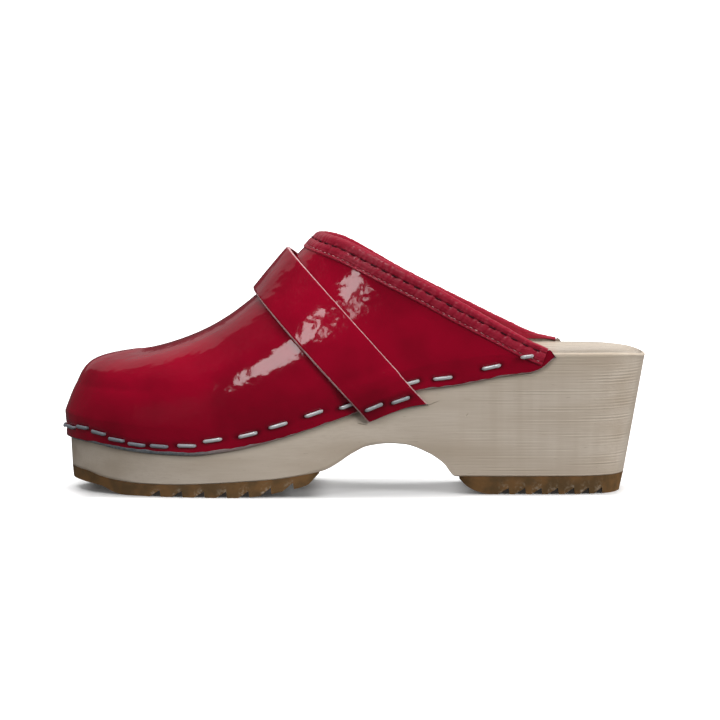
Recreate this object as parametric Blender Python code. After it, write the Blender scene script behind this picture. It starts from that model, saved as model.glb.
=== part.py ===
"""A clog for the left foot: a red leather vamp stapled over the side of an alder sole.

+Z is up, the toe points along -X, and the outer side of the foot faces -Y. The origin is on the
floor, at the middle of the clog's length and width. Sizes and tables are in millimetres, and MM
turns them into metres. A station is a distance back from the tip of the wooden toe, and a turn is
the same thing as an angle: 0 at the toe's tip, 90 at mid length and 180 at the heel's back.
"""

import math
from typing import NamedTuple

import bmesh
import bpy
import numpy as np

MM = 0.001
OUTER, INNER = -1, 1  # the two sides of the foot: little toe at -Y, big toe at +Y

# Driving sizes
SOLE_LENGTH = 247.6
TOE_X = -122.1  # where station 0 lies
TOE_Y = 5.0  # the tip of the toe lies toward the big toe
HEEL_Y = 0.0
TOE_ROUND = {OUTER: 76.0, INNER: 59.0}  # length of the quarter ellipse at each side of the toe
HEEL_ROUND = 34.0
HEEL_SQUARENESS = 2.3  # 2 is an ellipse
INNER_REACH = 1.026  # the vamp runs this much further back on the inner side
GAP = 0.3  # between pieces that touch
LEATHER = 1.6
NET_START = 80.0  # hem station where the net used to lay the collar binding begins
SEAM_REACH = 0.0001  # metres; the vamp's two sides are joined where they come this close
ARRIS = 1.0  # broken edge along the bottom of the wood
RIM_ROUND = 1.5  # rounded edge around the footbed
RUBBER_TAPER = {"forefoot": 0.5, "heel": 1.8}  # how far the tread draws in below its upper edge


class Plan(NamedTuple):
    """The sole seen from above: half widths at the rim, and how far the wall draws in below it."""

    station: float
    outer: float
    inner: float
    undercut: float


PLAN = (
    Plan(0.0, 46.0, 46.0, 1.2),
    Plan(60.0, 46.0, 46.0, 1.5),
    Plan(79.0, 46.0, 44.8, 1.6),
    Plan(101.0, 43.6, 40.6, 2.0),
    Plan(123.0, 38.6, 35.0, 2.6),
    Plan(147.0, 33.8, 31.2, 3.0),
    Plan(176.0, 31.6, 30.9, 2.0),
    Plan(206.0, 31.6, 31.6, 1.8),
    Plan(229.0, 31.6, 31.6, 3.6),
    Plan(SOLE_LENGTH, 31.6, 31.6, 9.2),
)


class Height(NamedTuple):
    """A height above the floor at one station."""

    station: float
    z: float


WOOD_BOTTOM = (
    Height(0.0, 9.9),
    Height(8.0, 9.1),
    Height(15.0, 7.2),
    Height(23.0, 6.0),
    Height(32.0, 5.3),
    Height(44.0, 5.2),
    Height(56.0, 5.7),
    Height(71.0, 6.6),
    Height(90.0, 8.0),
    Height(103.5, 10.0),
    Height(110.0, 11.4),
    Height(114.5, 13.6),
    Height(122.0, 18.4),
    Height(128.5, 21.3),
    Height(137.0, 22.2),
    Height(144.0, 21.7),
    Height(154.0, 18.0),
    Height(160.5, 13.6),
    Height(165.8, 7.8),
    Height(SOLE_LENGTH, 7.8),
)
WOOD_RIM = (
    Height(0.0, 33.0),
    Height(21.0, 30.8),
    Height(51.0, 29.2),
    Height(68.0, 30.6),
    Height(85.0, 34.2),
    Height(101.0, 39.0),
    Height(121.0, 46.0),
    Height(141.0, 52.2),
    Height(159.0, 56.4),
    Height(181.0, 59.6),
    Height(201.0, 60.7),
    Height(229.0, 60.6),
    Height(241.0, 60.0),
    Height(SOLE_LENGTH, 58.8),
)
FOOTBED_DISH = (
    Height(0.0, 1.5),
    Height(50.0, 3.0),
    Height(110.0, 3.0),
    Height(150.0, 2.0),
    Height(205.0, 3.4),
    Height(SOLE_LENGTH, 2.5),
)
FOREFOOT_TREAD = (
    Height(0.0, 4.9),
    Height(4.5, 4.4),
    Height(13.5, 3.2),
    Height(20.0, 0.7),
    Height(25.0, 0.0),
    Height(73.0, 0.0),
    Height(85.0, 1.2),
    Height(93.0, 2.8),
    Height(102.6, 5.0),
    Height(108.4, 10.2),
)
HEEL_TREAD = (
    Height(167.6, 6.8),
    Height(170.6, 3.6),
    Height(174.4, 1.5),
    Height(180.5, 0.0),
    Height(SOLE_LENGTH, 0.0),
)
LUG_PITCH = {"forefoot": 9.6, "heel": 7.0}
FIRST_GROOVE = {"forefoot": 35.0, "heel": 184.0}
LAST_GROOVE = {"forefoot": 93.0, "heel": 228.0}
GROOVE_DEPTH = 2.4
GROOVE_LENGTH = 4.0


class Rib(NamedTuple):
    """A line up the vamp: it starts at the hem, passes the wood's rim, and ends at the top line.

    lean is in degrees, outward where it is positive. A pull is how far that end's direction is
    kept, as a share of the straight line from the rim to the top.
    """

    hem_station: float
    hem_z: float
    rim_shift: float
    lean: float
    low_pull: float
    top_pull: float


RIBS = (
    Rib(0.0, 22.1, 0.0, -20.5, 0.52, 0.76),
    Rib(9.6, 21.5, 0.0, -12.0, 0.49, 0.68),
    Rib(22.9, 19.5, 0.0, -4.5, 0.45, 0.57),
    Rib(35.8, 18.4, 0.0, -1.0, 0.42, 0.52),
    Rib(52.6, 17.9, 0.0, 1.0, 0.38, 0.46),
    Rib(69.4, 19.9, 0.0, 2.0, 0.37, 0.43),
    Rib(86.1, 23.7, 0.0, 1.0, 0.36, 0.40),
    Rib(102.7, 28.6, 0.0, 0.0, 0.36, 0.38),
    Rib(122.0, 35.0, 0.0, -3.0, 0.36, 0.36),
    Rib(149.3, 44.5, 0.0, -7.0, 0.35, 0.35),
    Rib(166.5, 46.8, 0.5, -9.0, 0.35, 0.35),
    Rib(188.4, 51.0, 2.5, -5.0, 0.34, 0.34),
    Rib(198.4, 52.3, 5.0, 0.0, 0.33, 0.33),
    Rib(208.4, 58.8, -1.6, 0.0, 0.33, 0.33),
)
APEX_RIB = 119.0  # hem station of the rib that ends at the front of the collar
THROAT_RIB = 139.0  # hem station of the rib where the collar has turned from across to along
BAND_END_RIB = 198.4  # hem station of the rib where the collar binding ends
LAP = 0.22  # share of a rib that lies against the side of the wood

RIDGE = (
    Height(37.0, 60.8),
    Height(39.5, 61.1),
    Height(46.3, 63.0),
    Height(56.3, 66.9),
    Height(67.3, 73.1),
    Height(77.3, 80.5),
    Height(89.3, 91.3),
    Height(97.3, 99.6),
    Height(105.8, 108.3),
)


# The toe is softened by averaging over this much turn and rise, less and less from the start turn
# to the end turn.
SOFT_TURN = 14.0
SOFT_RISE = 0.18
SOFT_START, SOFT_END = 35.0, 68.0
SOFT_STEPS = (-1.0, -0.5, 0.0, 0.5, 1.0)
SOFT_WEIGHTS = (0.0625, 0.25, 0.375, 0.25, 0.0625)


class CollarEdge(NamedTuple):
    """The height of the collar's edge at one station, on each side of the foot."""

    station: float
    outer_z: float
    inner_z: float


COLLAR_EDGE = (
    CollarEdge(105.8, 108.3, 108.3),
    CollarEdge(115.5, 106.1, 104.7),
    CollarEdge(127.5, 100.8, 97.9),
    CollarEdge(139.0, 95.1, 91.1),
    CollarEdge(154.0, 87.6, 83.3),
    CollarEdge(169.0, 79.4, 75.9),
    CollarEdge(183.0, 72.1, 69.0),
    CollarEdge(197.6, 64.6, 62.7),
    CollarEdge(204.7, 61.8, 61.4),
)
COLLAR_HALF_WIDTH = 33.4
COLLAR_CORNER = (205.9, 62.1)  # station and height of the vamp's hindmost corner


BAND_THICKNESS = 1.2
BAND_GAP = 0.75  # over the vamp's outer face, wide enough for the flat facets of both pieces
BAND_LINING_GAP = 0.95
BAND_OUTSIDE = 8.5  # how far the binding comes down from the leather's edge
BAND_INSIDE = 9.0
BAND_ROLL = 3.4  # height of the padded roll over the leather's edge
BAND_ROLL_END = 1.0  # the same where the binding ends

STRAP_WIDTH = 23.5
STRAP_THICKNESS = 1.8
STRAP_TILT = 47.5  # degrees from upright, seen from the side
STRAP_PLACE = 128.0  # distance of its middle line from the toe, square to the line
STRAP_BELOW_HEM = 6.5
STRAP_LIFT = {"front": 0.8, "back": 3.0}  # extra room under the strap where it crosses the ridge


class StandOff(NamedTuple):
    """Room between the strap and the vamp's outer face, by height over the vamp's hem."""

    over_hem: float
    room: float


STRAP_ROOM = (
    StandOff(-STRAP_BELOW_HEM, -1.3),
    StandOff(-3.5, -0.6),
    StandOff(0.0, 0.9),
    StandOff(3.5, 2.0),
    StandOff(7.5, 2.0),
    StandOff(16.0, 0.6),
    StandOff(30.0, 0.6),
)


class StaplePlace(NamedTuple):
    """A staple of the hem row: its station on the outer side and its height over the hem."""

    station: float
    over_hem: float


WIRE = 1.2
STAPLE_CROWN = 7.2  # between the middles of its legs
STAPLE_IN_WOOD = 3.0
STAPLE_BEND = 0.9
STAPLE_LIFT = 0.3  # between the leather and the underside of the crown
STAPLE_ROOM = 0.2  # around each leg
WIRE_SIDES = 0  # bevel resolution of the wire; 0 gives it four faces
OUTER_STAPLES = (
    StaplePlace(0.0, 4.6),
    StaplePlace(2.7, 5.2),
    StaplePlace(7.8, 6.2),
    StaplePlace(14.7, 5.4),
    StaplePlace(22.3, 4.2),
    StaplePlace(30.8, 3.5),
    StaplePlace(40.4, 3.7),
    StaplePlace(52.0, 4.5),
    StaplePlace(62.9, 6.0),
    StaplePlace(77.7, 5.7),
    StaplePlace(90.3, 6.4),
    StaplePlace(105.3, 6.6),
    StaplePlace(119.9, 4.9),
    StaplePlace(133.2, 4.9),
    StaplePlace(146.2, 4.4),
    StaplePlace(160.1, 4.2),
    StaplePlace(180.9, 5.2),
)
BAND_STAPLE = StaplePlace(196.0, 7.6)
BAND_STAPLE_TILT = 25.0  # degrees its legs point down, to stay under the wood's rounded rim
STRAP_STAPLES = (StaplePlace(130.2, 0.3), StaplePlace(141.8, -1.4))


def station_x(station):
    """X of a station."""
    return TOE_X + station


def column(rows, name):
    return np.array([getattr(row, name) for row in rows], float)


def cubic(knots, values, at, level_start=False):
    """A cubic through the knots whose slopes are held so that it never overshoots a row."""
    step = np.diff(knots)
    secant = np.diff(values) / step
    slope = np.empty(len(knots))
    slope[0], slope[-1] = 0.0 if level_start else secant[0], secant[-1]
    product = secant[1:] * secant[:-1]
    total = secant[1:] + secant[:-1]
    rising = product > 0
    slope[1:-1] = np.where(rising, 2 * product / np.where(rising, total, 1.0), 0.0)
    at = np.clip(at, knots[0], knots[-1])
    i = np.clip(np.searchsorted(knots, at) - 1, 0, len(knots) - 2)
    u = (at - knots[i]) / step[i]
    return (
        values[i] * (1 + 2 * u) * (1 - u) ** 2
        + values[i + 1] * u * u * (3 - 2 * u)
        + step[i] * (slope[i] * u * (1 - u) ** 2 - slope[i + 1] * u * u * (1 - u))
    )


def height(rows, station):
    """A height table read at any station."""
    return cubic(column(rows, "station"), column(rows, "z"), station)


def station_of(turn):
    return SOLE_LENGTH * (1 - np.cos(np.radians(turn))) / 2


def turn_of(station):
    return np.degrees(np.arccos(np.clip(1 - 2 * np.asarray(station, float) / SOLE_LENGTH, -1, 1)))


def rib_value(name, turn):
    """A column of RIBS read at any turn, level at the toe so that the two sides run smoothly on."""
    return cubic(turn_of(column(RIBS, "hem_station")), column(RIBS, name), turn, level_start=True)


# ---------------------------------------------------------------- the sole's outline and wall


def rim_outline(side, turn):
    """Station and y of the wood's rim: tabled half widths, drawn in by an ellipse at each end."""
    station = station_of(turn)
    knots = column(PLAN, "station")
    half = cubic(knots, column(PLAN, "outer" if side == OUTER else "inner"), station)
    toe = np.clip(1 - station / TOE_ROUND[side], 0, 1)
    heel = np.clip(1 - (SOLE_LENGTH - station) / HEEL_ROUND, 0, 1)
    fullness = np.sqrt(1 - toe**2) * (1 - heel**HEEL_SQUARENESS) ** (1 / HEEL_SQUARENESS)
    pole = np.where(station < SOLE_LENGTH / 2, TOE_Y, HEEL_Y)
    return station, pole + (side * half - pole) * fullness


def outline(side, turn, inset):
    """The rim's outline moved inward by inset, square to itself."""
    turn = np.asarray(turn, float)
    step = 0.2
    before = rim_outline(side, np.maximum(turn - step, 0))
    after = rim_outline(side, np.minimum(turn + step, 180))
    along, across = after[0] - before[0], after[1] - before[1]
    length = np.hypot(along, across)
    tip = (turn < 1e-6).astype(float) - (turn > 180 - 1e-6)
    in_s = np.where(tip != 0, tip, side * across / length)
    in_y = np.where(tip != 0, 0.0, -side * along / length)
    station, y = rim_outline(side, turn)
    return station + in_s * inset, y + in_y * inset


def wall_point(side, turn, z, outward=0.0):
    """A point on the wood's side wall at height z, moved outward from it."""
    station = station_of(turn)
    top, bottom = height(WOOD_RIM, station), height(WOOD_BOTTOM, station)
    undercut = cubic(column(PLAN, "station"), column(PLAN, "undercut"), station)
    inset = undercut * (top - z) / (top - bottom)
    plan = outline(side, turn, inset - outward)
    return np.stack([station_x(plan[0]), plan[1], z + np.zeros_like(plan[0])], axis=-1)


def bottom_edge(side, turn, extra):
    """Station and y of the wood's bottom edge, moved inward by extra."""
    undercut = cubic(column(PLAN, "station"), column(PLAN, "undercut"), station_of(turn))
    return outline(side, turn, undercut + extra)


# ---------------------------------------------------------------- the vamp's outer face


def side_reach(side):
    return INNER_REACH if side == INNER else 1.0


def top_line(side, turn):
    """The end of each rib: the ridge up to the collar's front, then the collar's edge."""
    apex, end = turn_of(APEX_RIB), turn_of(BAND_END_RIB)
    last = turn_of(RIBS[-1].hem_station)
    front = RIDGE[0].station
    back = RIDGE[-1].station
    ridge_station = front + (back - front) * np.clip(turn / apex, 0, 1) ** 1.8
    along = np.clip((turn - apex) / (end - apex), 0, 1)
    collar_station = back + (COLLAR_EDGE[-1].station - back) * along**1.6
    half = COLLAR_HALF_WIDTH * (1 - (1 - along) ** 4.2)
    corner = np.clip((turn - end) / (last - end), 0, 1)
    on_ridge = turn <= apex
    reach = 1 + (side_reach(side) - 1) * along**2
    station = np.where(on_ridge, ridge_station, collar_station * reach)
    station = station + (COLLAR_CORNER[0] - COLLAR_EDGE[-1].station) * corner
    name = "outer_z" if side == OUTER else "inner_z"
    edge_z = cubic(column(COLLAR_EDGE, "station"), column(COLLAR_EDGE, name), collar_station)
    z = np.where(on_ridge, height(RIDGE, ridge_station), edge_z)
    z = z + (COLLAR_CORNER[1] - edge_z) * corner
    y = TOE_Y * (1 - along) + side * half
    return np.stack([station_x(station), y, z], axis=-1), along


def vamp_rib(side, turn, v):
    """A point of a rib: v is 0 at the hem, LAP at the wood's rim and 1 at the top line.

    Below the rim a rib follows the wood. Above it, it is a cubic Bezier curve that leaves the rim
    at the rib's lean and reaches the top line level across the ridge, or rising at the collar.
    """
    turn, v = np.broadcast_arrays(np.asarray(turn, float), np.asarray(v, float))
    hem_turn = turn_of(station_of(turn) * side_reach(side))
    rim_turn = turn_of(station_of(hem_turn) + rib_value("rim_shift", turn))
    rim_z = height(WOOD_RIM, station_of(rim_turn)) + 0.3
    hem_z = rib_value("hem_z", turn)
    share = np.minimum(v / LAP, 1)
    lap_turn = hem_turn + (rim_turn - hem_turn) * share
    lap_z = hem_z + (rim_z - hem_z) * share
    lap = wall_point(side, lap_turn, lap_z, GAP + LEATHER)

    start = wall_point(side, rim_turn, rim_z, GAP + LEATHER)
    outward = start - wall_point(side, rim_turn, rim_z, 0.0)
    outward /= np.linalg.norm(outward, axis=-1, keepdims=True)
    lean = np.radians(rib_value("lean", turn))[..., None]
    up = np.array([0.0, 0.0, 1.0])
    leave = outward * np.sin(lean) + up * np.cos(lean)

    end, along = top_line(side, turn)
    chord = np.linalg.norm(end - start, axis=-1)
    level = (end - start) * np.array([1.0, 1.0, 0.0])
    level /= np.maximum(np.linalg.norm(level, axis=-1, keepdims=True), 1e-9)
    square = np.clip(turn / turn_of(APEX_RIB), 0, 1) ** 3 * np.clip(1 - 2 * along, 0, 1)
    level += (np.array([0.0, -float(side), 0.0]) - level) * square[..., None]
    level /= np.linalg.norm(level, axis=-1, keepdims=True)
    slope = ridge_slope(end[..., 0]) * np.clip(1 - 3 * along, 0, 1)
    rise = np.radians(84.0) * (1 - (1 - along) ** 3.6)
    arrive = level * np.cos(rise)[..., None] + up * (level[..., 0] * slope + np.sin(rise))[..., None]

    first = start + leave * (chord * rib_value("low_pull", turn))[..., None]
    cut = 1 - 0.19 * (1 - (1 - along) ** 4.2)  # the collar cuts the rib short of the ridge
    second = end - arrive * (chord * cut * rib_value("top_pull", turn))[..., None]
    u = np.clip((v - LAP) / (1 - LAP), 0, 1)[..., None]
    curve = (
        start * (1 - u) ** 3
        + first * 3 * u * (1 - u) ** 2
        + second * 3 * u * u * (1 - u)
        + end * u**3
    )
    return np.where((v <= LAP)[..., None], lap, curve)


def vamp_point(side, turn, v):
    """The vamp's outer face: its ribs, each point of the toe averaged with the ribs around it."""
    turn, v = np.broadcast_arrays(np.asarray(turn, float), np.asarray(v, float))
    fade = np.clip((SOFT_END - turn) / (SOFT_END - SOFT_START), 0, 1)
    soft = fade * fade * (3 - 2 * fade) * np.clip((v - LAP) / SOFT_RISE, 0, 1)
    if not soft.any():
        return vamp_rib(side, turn, v)
    total = 0.0
    for turn_shift, turn_weight in zip(SOFT_STEPS, SOFT_WEIGHTS):
        for rise_shift, rise_weight in zip(SOFT_STEPS, SOFT_WEIGHTS):
            at = turn + turn_shift * SOFT_TURN * soft
            rise = v + rise_shift * SOFT_RISE * soft
            beyond = ((at < 0) != (rise > 1 + 1e-9))[..., None]
            at, rise = np.abs(at), np.where(rise > 1, 2 - rise, rise)
            point = np.where(beyond, vamp_rib(-side, at, rise), vamp_rib(side, at, rise))
            total = total + point * turn_weight * rise_weight
    return total


def ridge_slope(x):
    """Rise of the ridge for each millimetre back."""
    low = np.clip(x - TOE_X - 1, RIDGE[0].station, RIDGE[-1].station - 1)
    return height(RIDGE, low + 1) - height(RIDGE, low)


def vamp_frame(side, turn, v):
    """Point, unit normal pointing out, and unit direction up the rib.

    A rib that ends close above the wood's rim is too short to give a normal, so it takes the wall's.
    """
    turn, v = np.broadcast_arrays(np.asarray(turn, float), np.asarray(v, float))
    point = vamp_point(side, turn, v)
    behind = vamp_point(side, np.maximum(turn - 0.5, 0), v)
    ahead = vamp_point(side, np.minimum(turn + 0.5, turn_of(RIBS[-1].hem_station)), v)
    higher = np.where(turn < 1e-6, np.minimum(v + 0.01, 1), v + 0.01)
    up = vamp_point(side, turn, higher) - vamp_point(side, turn, v - 0.01)
    up /= np.linalg.norm(up, axis=-1, keepdims=True)
    toe = (turn < 1e-6)[..., None]
    along = np.where(toe, np.array([0.0, float(side), 0.0]), ahead - behind)
    normal = np.cross(along, up) * -side
    normal /= np.linalg.norm(normal, axis=-1, keepdims=True)

    rim_z = height(WOOD_RIM, station_of(turn))
    wall = wall_point(side, turn, rim_z, 1.0) - wall_point(side, turn, rim_z)
    rib_height = vamp_point(side, turn, np.ones_like(v))[..., 2] - rim_z
    share = np.clip((rib_height - 1.0) / 7.0, 0, 1)[..., None]
    normal = wall * (1 - share) + normal * share
    middle = (turn < 1e-6) | ((v > 1 - 1e-6) & (turn < turn_of(APEX_RIB) + 1e-6))
    normal[..., 1] = np.where(middle, 0.0, normal[..., 1])
    normal /= np.linalg.norm(normal, axis=-1, keepdims=True)
    return point, normal, up


# ---------------------------------------------------------------- meshes


def new_object(name, mesh, material, collection):
    made = bpy.data.objects.new(name, mesh)
    if material:
        mesh.materials.append(material)
    collection.objects.link(made)
    return made


def grid_faces(mesh, rows, closed):
    """Quads between neighbouring rows of vertices; closed joins each row's last to its first."""
    for near, far in zip(rows, rows[1:]):
        count = len(near)
        for i in range(count if closed else count - 1):
            j = (i + 1) % count
            mesh.faces.new((near[i], near[j], far[j], far[i]))


def add_rows(mesh, points):
    return [[mesh.verts.new(tuple(p * MM)) for p in row] for row in points]


def tidy(mesh, reach=1e-7):
    """Merge points that lie within reach of each other and drop what has collapsed."""
    bmesh.ops.remove_doubles(mesh, verts=mesh.verts, dist=reach)
    bmesh.ops.dissolve_degenerate(mesh, dist=1e-7, edges=mesh.edges)


def loft(name, sections, material, collection):
    """A closed solid through rings of points, with a flat face over each end that is not a line."""
    mesh = bmesh.new()
    rows = add_rows(mesh, sections)
    grid_faces(mesh, rows, closed=True)
    mesh.faces.new(rows[0])
    mesh.faces.new(rows[-1])
    tidy(mesh)
    bmesh.ops.triangulate(mesh, faces=mesh.faces)
    bmesh.ops.recalc_face_normals(mesh, faces=mesh.faces)
    made = bpy.data.meshes.new(name)
    mesh.to_mesh(made)
    mesh.free()
    return new_object(name, made, material, collection)


def spread(stations, counts):
    """Turns between the given stations, evenly spaced in turn within each span."""
    turns = turn_of(np.array(stations, float))
    spans = [
        np.linspace(a, b, n, endpoint=False) for a, b, n in zip(turns, turns[1:], counts)
    ]
    return np.concatenate([*spans, turns[-1:]])


# ---------------------------------------------------------------- the wood and the rubber


def wood_sole(material, collection):
    """Rings round the block: bottom, arris, wall, rounded rim and dished footbed."""
    turns = spread((0, 76, 110, 165.8, 206, SOLE_LENGTH), (12, 4, 12, 4, 9))
    zero = np.zeros_like(turns)
    stations = station_of(turns)
    rim_z = height(WOOD_RIM, stations)
    sides = {}
    for side in (OUTER, INNER):
        foot = bottom_edge(side, turns, ARRIS)
        floor_z = height(WOOD_BOTTOM, foot[0])
        lip = outline(side, turns, RIM_ROUND)
        sides[side] = {
            "foot": np.stack([foot[0], foot[1], floor_z], axis=-1),
            "arris": wall_point(side, turns, height(WOOD_BOTTOM, stations) + ARRIS),
            "shoulder": wall_point(side, turns, rim_z - RIM_ROUND),
            "lip": np.stack([lip[0], lip[1], rim_z], axis=-1),
        }
        for key in ("foot", "lip"):
            sides[side][key][:, 0] += TOE_X
    foot_spine = (sides[OUTER]["foot"] + sides[INNER]["foot"]) / 2
    bed_spine = (sides[OUTER]["lip"] + sides[INNER]["lip"]) / 2
    half = (sides[INNER]["lip"] - sides[OUTER]["lip"])[:, 1] / 2
    dish = height(FOOTBED_DISH, stations) * np.clip(half / 18, 0, 1)

    def bed(side, share):
        point = bed_spine + (sides[side]["lip"] - bed_spine) * share
        point[:, 2] = rim_z - dish * (1 - share**3)
        return point

    def under(side, share):
        point = foot_spine + (sides[side]["foot"] - foot_spine) * share
        point[:, 2] = height(WOOD_BOTTOM, point[:, 0] - TOE_X)
        return point

    ring = [under(OUTER, 0.0)]
    ring += [sides[OUTER][key] for key in ("foot", "arris", "shoulder", "lip")]
    ring += [bed(OUTER, 0.8), bed(OUTER, 0.45), bed(OUTER, 0.0), bed(INNER, 0.45), bed(INNER, 0.8)]
    ring += [sides[INNER][key] for key in ("lip", "shoulder", "arris", "foot")]
    sections = np.stack(ring, axis=1)
    return loft("wood_sole", sections, material, collection)


def tread_z(which, table, station):
    """The tread's lower face: its table, cut by saw-tooth grooves with a steep back."""
    base = height(table, station)
    pitch = LUG_PITCH[which]
    first, last = FIRST_GROOVE[which], LAST_GROOVE[which]
    into = np.mod(station - first, pitch)
    cut = GROOVE_DEPTH * np.where(into <= GROOVE_LENGTH, into / GROOVE_LENGTH, 0.0)
    inside = (station >= first) & (station <= last + GROOVE_LENGTH)
    return base + np.where(inside, cut, 0.0)


def rubber(which, table, start, end, toe_turns, material, collection):
    """A plate that follows the wood's bottom edge, its lower face cut by grooves."""
    first, last, pitch = FIRST_GROOVE[which], LAST_GROOVE[which], LUG_PITCH[which]
    grooves = np.arange(first, last, pitch)
    backs = grooves + GROOVE_LENGTH
    corners = np.concatenate([grooves, backs - 0.001, backs + 0.15])
    rows = column(table, "station")
    stations = np.concatenate([corners, rows[(rows > start) & (rows < end)], station_of(toe_turns)])
    stations = np.unique(np.round(np.append(stations, [start, end]), 3))
    stations = stations[(stations >= start) & (stations <= end)]
    near_corner = np.abs(stations[:, None] - corners[None, :]).min(axis=1)
    stations = stations[(near_corner < 1e-2) | (near_corner > 0.8)]
    turns = turn_of(stations)
    ring = {}
    for side in (OUTER, INNER):
        top = bottom_edge(side, turns, 0.0)
        low = bottom_edge(side, turns, RUBBER_TAPER[which])
        top_z = height(WOOD_BOTTOM, top[0]) - GAP
        ring[side, "top"] = np.stack([station_x(top[0]), top[1], top_z], axis=-1)
        low_z = tread_z(which, table, stations)
        ring[side, "low"] = np.stack([station_x(low[0]), low[1], low_z], axis=-1)
    order = ((OUTER, "top"), (OUTER, "low"), (INNER, "low"), (INNER, "top"))
    sections = np.stack([ring[key] for key in order], axis=1)
    return loft(f"{which}_rubber", sections, material, collection)


# ---------------------------------------------------------------- the upper


def upper(material, collection):
    """The vamp as a leather wall: both sides meet at the toe and along the ridge."""
    turns = rib_turns()
    heights = np.concatenate([np.linspace(0, LAP, 3), np.linspace(LAP, 1, 10)[1:]])
    collar = turns > turn_of(APEX_RIB) - 1e-6
    mesh = bmesh.new()
    for side in (OUTER, INNER):
        points, normals, _ = vamp_frame(side, turns[:, None], heights[None, :])
        face = add_rows(mesh, points)
        lining = add_rows(mesh, points - normals * LEATHER)
        grid_faces(mesh, face, closed=False)
        grid_faces(mesh, lining, closed=False)
        hem = [[row[0] for row in rows] for rows in (face, lining)]
        edge = [[row[-1] for row, at in zip(rows, collar) if at] for rows in (face, lining)]
        for border in (hem, edge, [face[-1], lining[-1]]):
            grid_faces(mesh, border, closed=False)
    tidy(mesh, SEAM_REACH)
    bmesh.ops.triangulate(mesh, faces=mesh.faces)
    bmesh.ops.recalc_face_normals(mesh, faces=mesh.faces)
    made = bpy.data.meshes.new("upper")
    mesh.to_mesh(made)
    mesh.free()
    return new_object("upper", made, material, collection)


def rib_turns():
    """Turns of the vamp's ribs, close together around the front of the collar."""
    return spread((0, APEX_RIB, THROAT_RIB, BAND_END_RIB, RIBS[-1].hem_station), (13, 11, 12, 1))


class VampNet:
    """The vamp's outer face as a fine net of points, to lay other pieces on it."""

    def __init__(self):
        turns = np.linspace(turn_of(NET_START), turn_of(RIBS[-1].hem_station), 360)[:, None]
        heights = np.linspace(0.0, 1.0, 240)[None, :]
        frames = [vamp_frame(side, turns, heights) for side in (OUTER, INNER)]
        self.points = np.concatenate([frame[0].reshape(-1, 3) for frame in frames])
        self.normals = np.concatenate([frame[1].reshape(-1, 3) for frame in frames])

    def drop(self, target):
        """The point of the face nearest to target, and the face's normal there."""
        nearest = np.argmin(((self.points - target) ** 2).sum(axis=1))
        normal = self.normals[nearest]
        return target - normal * ((target - self.points[nearest]) @ normal), normal


def collar_path():
    """Points, normals and up directions along the collar's edge, outer heel end to inner."""
    turns = rib_turns()
    turns = turns[(turns >= turn_of(APEX_RIB) - 1e-6) & (turns <= turn_of(BAND_END_RIB) + 1e-6)]
    outer = vamp_frame(OUTER, turns[::-1], 1.0)
    inner = vamp_frame(INNER, turns[1:], 1.0)
    points = np.concatenate([outer[0], inner[0]])
    normals = np.concatenate([outer[1], inner[1]])
    along = np.gradient(points, axis=0)
    up = np.cross(along, normals)
    return points, normals, up / np.linalg.norm(up, axis=1, keepdims=True)


def collar_binding(net, material, collection):
    """A folded band: down the outside, over the edge as a padded roll, and down the inside."""
    points, normals, ups = collar_path()
    back = np.abs(np.linspace(-1, 1, len(points)))
    sections = [
        binding_section(net, point, normal, up, share)
        for point, normal, up, share in zip(points, normals, ups, back)
    ]
    return loft("collar_binding", np.array(sections), material, collection)


def binding_section(net, edge, normal, up, share):
    """One ring of the band. A corner is a distance out from the leather's face and up its edge."""
    roll = BAND_ROLL + (BAND_ROLL_END - BAND_ROLL) * share**2
    rim_z = height(WOOD_RIM, edge[0] - TOE_X)
    inside = max(min(BAND_INSIDE, (edge[2] - rim_z) / max(up[2], 0.3) - 4 * GAP), 0.1)
    face, back = BAND_GAP, -LEATHER - BAND_LINING_GAP
    outer, inner = face + BAND_THICKNESS, back - BAND_THICKNESS
    corners = (
        (face, -BAND_OUTSIDE),
        (outer - 0.3, -BAND_OUTSIDE),
        (outer, -BAND_OUTSIDE * 2 / 3),
        (outer, -BAND_OUTSIDE / 3),
        (outer, 0.0),
        (outer - 0.3, roll * 0.65),
        ((face + back) / 2, roll),
        (inner + 0.3, roll * 0.65),
        (inner, 0.0),
        (inner, -inside / 2),
        (inner, -inside),
        (back, -inside),
        (back, -inside / 2),
        (back, GAP),
        (face, GAP),
        (face, -BAND_OUTSIDE / 3),
        (face, -BAND_OUTSIDE * 2 / 3),
    )
    ring = []
    for out, rise in corners:
        point, square = edge + up * rise, normal
        if rise < 0:
            point, square = net.drop(point)
        ring.append(point + square * out)
    return ring


def strap_turn(side, v, across):
    """The turn at which the rib height v meets the strap's line, found by halving."""
    low, high = SOFT_END, 120.0
    tilt = math.radians(STRAP_TILT)
    for _ in range(26):
        middle = (low + high) / 2
        point = vamp_point(side, middle, v)
        station = point[0] - TOE_X
        distance = station * math.sin(tilt) + point[2] * math.cos(tilt)
        if distance < STRAP_PLACE + across:
            low = middle
        else:
            high = middle
    return middle


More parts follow.
